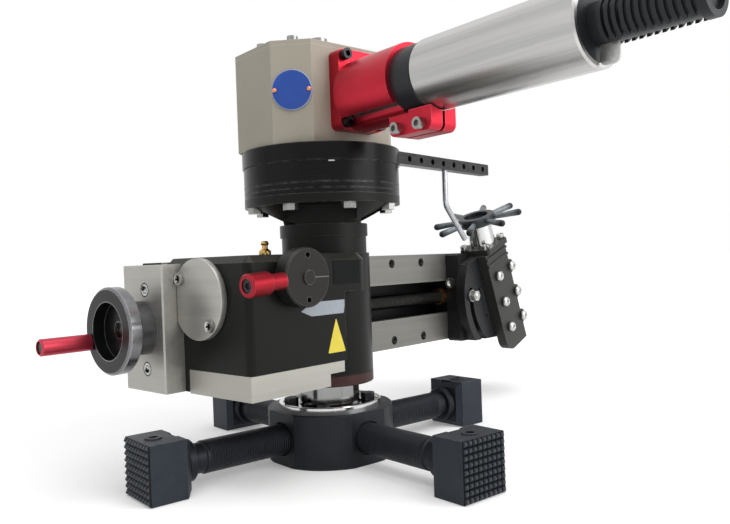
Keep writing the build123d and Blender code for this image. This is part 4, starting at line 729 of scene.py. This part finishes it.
# Handwheel: turned and blackened steel. Its outside has been polished bright again by hands, and so
# have the rim's two edges. The face and the mouth stayed dark.
wheel_steel = Finish("wheel_steel", 0.85, 0.3, (0.06, 0.06, 0.062), 0.3)
wheel_flat = wheel_steel.node("ShaderNodeVectorMath", {"operation": "MULTIPLY"}, wheel_steel.place,
                              (0.0, 1.0, 1.0))
from_axis = wheel_steel.apart((0.0, screw_beside, screw_height), wheel_flat)
along = wheel_steel.axis("X")
rings = wheel_steel.rings(from_axis, 900.0)
turns = wheel_steel.rings(along, 1400.0)
rim_starts, rim_ends, rim_back = 0.0292, 0.0302, -0.1598
outside = from_axis.clipped(rim_starts, rim_ends)
behind = (along > rim_back) * 0.28
edge = wheel_steel.edges(0.0011)
dark = wheel_steel.mix(rings, (0.011, 0.0115, 0.0125), (0.032, 0.033, 0.035))
polished = wheel_steel.mix(turns, (0.24, 0.24, 0.25), (0.4, 0.4, 0.41))
rubbed = wheel_steel.mix((outside * 0.58).or_more(behind), dark, polished)
wheel_steel.wear(base_color=wheel_steel.mix(edge * 0.7, rubbed, (0.72, 0.72, 0.73)))
wheel_steel.wear(roughness=0.28 - outside * 0.12 + rings * 0.1)
wheel_steel.onto("handwheel")

# Feed dial: a turned disc of blackened steel, on the housing's front. One engraved line runs from its
# boss towards the column.
dial_across, dial_height, boss_radius, line_end, line_half = -0.0835, 0.1495, 0.006, 0.0195, 0.0003
dial_black = blackened("dial_black", 0.5, (0.03, 0.03, 0.03))
across = dial_black.axis("X") - dial_across
upward = dial_black.axis("Z") - dial_height
line = (across > boss_radius) * (across < line_end) * ((upward * upward) < line_half * line_half)
reach = (across * across + upward * upward) ** 0.5
rings = dial_black.rings(reach, 1500.0, 2.0, 0.5)
dark = dial_black.mix(rings, (0.012, 0.0115, 0.011), (0.028, 0.0265, 0.025))
edge = dial_black.edges(0.0007)
dial_black.wear(base_color=dial_black.mix(edge * 0.5 + line * 0.4, dark, (0.34, 0.33, 0.32)))
dial_black.onto("feed_dial")

# Swivel base: a sector plate with a dovetail, bolted to the carriage through its curved slot. Its lower
# end is sawn level, 49 mm below the pivot.
saw_size, saw_across, level_end = 0.2, 0.25, 0.068
bpy.ops.mesh.primitive_cube_add(size=saw_size, location=(0.0, 0.0, 0.0))
sawn_off = bpy.context.object
sawn_off.data.transform(Matrix.Translation((saw_across, 0.0, level_end - saw_size / 2.0)))
sawn_off.select_set(False)
level_base = merged_copy("swivel_base")
level_cut = level_base.modifiers.new("level_cut", "BOOLEAN")
level_cut.operation = "DIFFERENCE"
level_cut.object = sawn_off
bpy.ops.object.modifier_apply(modifier=level_cut.name)
bpy.data.objects.remove(sawn_off)
bpy.ops.object.shade_smooth_by_angle(angle=math.radians(16.0))
set_down(level_base, "swivel_base_dressed", Matrix(), carriage_black, "swivel_unit")
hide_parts("swivel_base")

# Carriage stud with its nut, and the round-headed screw that locks the carriage: bright plated steel.
# The screw's head is half as large again as the node's own, and stands on the carriage's side.
bright_screw = plated("bright_screw")
stud = merged_copy("carriage_stud")
lock_middle, lock_reach = Vector((0.224, 0.031, 0.131)), 0.008
widen(stud, lambda spot: (spot - lock_middle).length < lock_reach, lock_middle, (1.6, 1.5, 1.5))
bpy.ops.object.shade_smooth_by_angle(angle=smooth_up_to)
set_down(stud, "carriage_stud_dressed", Matrix(), bright_screw, "carriage_unit")
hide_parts("carriage_stud")

# Bolts of the tool slide: six with round heads, sunk sockets and bright plating, drawn down on its
# face in two columns that lean with it, and the four smaller ones that hold the feed plate.
def pick_faces(piece, test):
    """Leaves edit mode with only those faces picked that the test holds for, and goes back to it."""
    bpy.ops.mesh.select_mode(type="FACE")
    bpy.ops.mesh.select_all(action="DESELECT")
    bpy.ops.object.mode_set(mode="OBJECT")
    for face in piece.data.polygons:
        face.select = test(face)
    bpy.ops.object.mode_set(mode="EDIT")


slide_face, feed_plate_low = -0.0026, 0.16
bolt_radius, bolt_rise, bolt_shank, bolt_reach = 0.0056, 0.0042, 0.0028, 0.007
crown, socket_wall, socket_depth = 0.003, 0.0004, 0.0018
bolt_columns, bolt_rows = (-0.017, 0.012), (0.0275, -0.0035, -0.0345)
bolts = merged_copy("tool_bolts")
bpy.ops.object.mode_set(mode="EDIT")
pick_faces(bolts, lambda face: face.center.z < feed_plate_low)
bpy.ops.mesh.delete(type="FACE")
bpy.ops.object.mode_set(mode="OBJECT")
bolts.select_set(False)

bpy.ops.mesh.primitive_cylinder_add(vertices=40, radius=bolt_radius, depth=bolt_rise)
first_bolt = bpy.context.object
bpy.ops.object.mode_set(mode="EDIT")
pick_faces(first_bolt, lambda face: face.normal.z < -0.9)
bpy.ops.mesh.inset(thickness=bolt_radius - bolt_shank)
bpy.ops.mesh.extrude_region_move(TRANSFORM_OT_translate={"value": (0.0, 0.0, -bolt_reach)})
pick_faces(first_bolt, lambda face: face.normal.z > 0.9)
bpy.ops.mesh.bevel(offset=crown, segments=5)
pick_faces(first_bolt, lambda face: face.normal.z > 0.99 and face.center.z > 0.0)
bpy.ops.mesh.inset(thickness=socket_wall)
bpy.ops.mesh.extrude_region_move(TRANSFORM_OT_translate={"value": (0.0, 0.0, -socket_depth)})
bpy.ops.object.mode_set(mode="OBJECT")
onto_face = Matrix.Rotation(math.radians(90.0), 4, "X")
onto_face.translation = (0.0, slide_face - bolt_rise / 2.0, 0.0)
first_bolt.data.transform(onto_face)


def another(piece, place):
    """A copy of a piece with its own mesh, set down at a place and selected."""
    copy = piece.copy()
    copy.data = piece.data.copy()
    copy.data.transform(place)
    bpy.context.scene.collection.objects.link(copy)
    copy.select_set(True)
    return copy


def joint_named(name):
    return next(joint for joint in frame["joints"] if joint["name"] == name)


swivel_pivot = Vector(joint_named("head_swivel")["pos_m"])
up_slide = Vector(joint_named("star_turn")["axis"])
across_slide = Vector((up_slide.z, 0.0, -up_slide.x))
for column in bolt_columns:
    for row in bolt_rows:
        spot = swivel_pivot + across_slide * column + up_slide * row
        another(first_bolt, Matrix.Translation((spot.x, 0.0, spot.z)))
bpy.data.objects.remove(first_bolt)
bolts.select_set(True)
bpy.context.view_layer.objects.active = bolts
bpy.ops.object.join()
bpy.ops.object.shade_smooth_by_angle(angle=smooth_up_to)
set_down(bolts, "tool_bolts_dressed", Matrix(), bright_screw, "slide_unit")
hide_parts("tool_bolts")

# Star wheel: a steel ring with a sunk middle and eight slim spokes, which grow thicker towards their
# domed ends. The ring and the ends are blackened, and the trip rod rubs the spokes to a bluish grey.
star_place = Matrix((across_slide, up_slide.cross(across_slide), up_slide)).transposed().to_4x4()
star_place.translation = Vector(joint_named("star_turn")["pos_m"])
ring_low, ring_high, ring_radius, sunk_wall, sunk_depth = 0.006, 0.016, 0.02, 0.0068, 0.005
ring_middle = (ring_low + ring_high) / 2.0
spoke_start, spoke_root, spoke_tip, spoke_reach, spoke_count = 0.0165, 0.0025, 0.0036, 0.05, 8
spoke_first, dome_steps, dome_flat = -24.0, 5, 0.25
bare_starts, bare_ends, ring_edge, dome_edge = 0.023, 0.038, 0.0195, 0.047

star_grey = Finish("star_grey", 0.55, 0.4, (0.08, 0.09, 0.1), 0.3)
from_ring = star_grey.apart(star_place @ Vector((0.0, 0.0, ring_middle)))
scuff = star_grey.grain(180.0, 4.0)
spoke = from_ring.clipped(ring_edge, bare_starts) * (1.0 - from_ring.clipped(bare_ends, dome_edge))
edge = star_grey.edges(0.0006)
bare = spoke * (0.45 + scuff.clipped(0.3, 0.75) * 0.55)
star_grey.wear(
    base_color=star_grey.mix(bare * 0.85 + edge * 0.3, (0.018, 0.02, 0.024), (0.22, 0.25, 0.27))
)
star_grey.wear(roughness=0.28 + scuff * 0.2)
star_grey.relief(scuff, 0.00004)

bpy.ops.mesh.primitive_cylinder_add(vertices=64, radius=ring_radius, depth=ring_high - ring_low)
star_ring = bpy.context.object
star_ring.data.transform(Matrix.Translation((0.0, 0.0, ring_middle)))
bpy.ops.object.mode_set(mode="EDIT")
pick_faces(star_ring, lambda face: face.normal.z > 0.9)
bpy.ops.mesh.inset(thickness=sunk_wall)
bpy.ops.mesh.extrude_region_move(TRANSFORM_OT_translate={"value": (0.0, 0.0, -sunk_depth)})
bpy.ops.object.mode_set(mode="OBJECT")
break_edges(star_ring)
star_ring.select_set(False)

spoke_length = spoke_reach - spoke_tip - spoke_start
bpy.ops.mesh.primitive_cone_add(
    vertices=24, radius1=spoke_root, radius2=spoke_tip, depth=spoke_length
)
first_spoke = bpy.context.object
bpy.ops.object.mode_set(mode="EDIT")
for step in range(dome_steps):
    now, then = (math.radians(90.0 * end / dome_steps) for end in (step, step + 1))
    rise = spoke_tip * (math.sin(then) - math.sin(now))
    narrow = max(math.cos(then) / math.cos(now), dome_flat)
    pick_faces(first_spoke, lambda face: face.normal.z > 0.99 and face.center.z > 0.0)
    bpy.ops.mesh.extrude_region_move(TRANSFORM_OT_translate={"value": (0.0, 0.0, rise)})
    bpy.ops.transform.resize(value=(narrow, narrow, 1.0))
bpy.ops.object.mode_set(mode="OBJECT")
lying = Matrix.Rotation(math.radians(90.0), 4, "Y")
lying.translation = (spoke_start + spoke_length / 2.0, 0.0, ring_middle)
first_spoke.data.transform(lying)
for number in range(spoke_count):
    spoke_turn = math.radians(spoke_first + 360.0 / spoke_count * number)
    another(first_spoke, Matrix.Rotation(spoke_turn, 4, "Z"))
bpy.data.objects.remove(first_spoke)
star_ring.select_set(True)
bpy.context.view_layer.objects.active = star_ring
bpy.ops.object.join()
bpy.ops.object.shade_smooth_by_angle(angle=smooth_up_to)
set_down(star_ring, "star_dressed", star_place, star_grey, "star_unit")
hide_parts("star_wheel")

# Trip rod: drawn steel, bent by hand and left bare. It hangs from one of the trip bar's holes, and
# turns the star wheel by one spoke each time that the arm carries it past.
bare_metal("rod_steel", (0.28, 0.28, 0.29), (0.52, 0.53, 0.55), 260.0, 0.24).onto("trip_rod")

# Studio: a pale floor that runs out of sight, soft light from above and from the right, and white all
# round. The floor brightens to white away from the machine, and keeps the machine's shadow.
def background_share(make):
    """1 for the camera, and for what metal or glass shows of the background."""
    shares = [make("ShaderNodeLightPath", {}, output=word) for word in (
        "Is Camera Ray", "Is Glossy Ray", "Is Transmission Ray"
    )]
    return (shares[0] + shares[1] + shares[2]).clipped(0.0, 1.0)


bpy.ops.mesh.primitive_plane_add(size=30.0, location=(0.0, 0.0, 0.0))
floor = bpy.context.object
floor.name = "floor"
floor_pale = Finish("floor_pale", 0.0, 0.9, (0.86, 0.86, 0.86), 0.2)
far = floor_pale.node("ShaderNodeVectorMath", {"operation": "LENGTH"}, floor_pale.place, output="Value")
lift = background_share(floor_pale.node) * (0.2 + far.clipped(0.3, 1.6) * 0.45)
floor_pale.wear(emission_color=floor_pale.mix(lift, (0.0, 0.0, 0.0), (1.0, 1.0, 1.0)))
floor_pale.shader.inputs["Emission Strength"].default_value = 1.0
floor.data.materials.append(floor_pale.material)
floor.select_set(False)

for name, place, size, power in (
    ("lamp_above", (-0.2, -0.5, 1.7), 1.6, 20.0),
    ("lamp_left", (-1.5, 0.3, 0.8), 1.2, 1.5),
    ("lamp_right", (0.5, -1.6, 0.8), 1.2, 17.0),
):
    lamp_data = bpy.data.lights.new(name, "AREA")
    lamp_data.size = size
    lamp_data.energy = power
    lamp = bpy.data.objects.new(name, lamp_data)
    lamp.location = place
    lamp.rotation_euler = (Vector(place) - Vector((0.0, 0.0, 0.15))).to_track_quat("Z", "Y").to_euler()
    bpy.context.scene.collection.objects.link(lamp)


class Backdrop(Finish):
    """The world's own light, made with the same nodes as a finish."""

    def __init__(self, name):
        world = bpy.data.worlds.new(name)
        world.use_nodes = True
        bpy.context.scene.world = world
        self.tree = world.node_tree
        self.tree.nodes.clear()


studio = Backdrop("studio")
lighting = studio.node("ShaderNodeBackground", {}, (1.0, 1.0, 1.0), 0.5)
seen_white = studio.node("ShaderNodeBackground", {}, (1.0, 1.0, 1.0), 1.0)
sky = studio.node("ShaderNodeMixShader", {}, background_share(studio.node), lighting, seen_white)
studio.node("ShaderNodeOutputWorld", {}, sky)
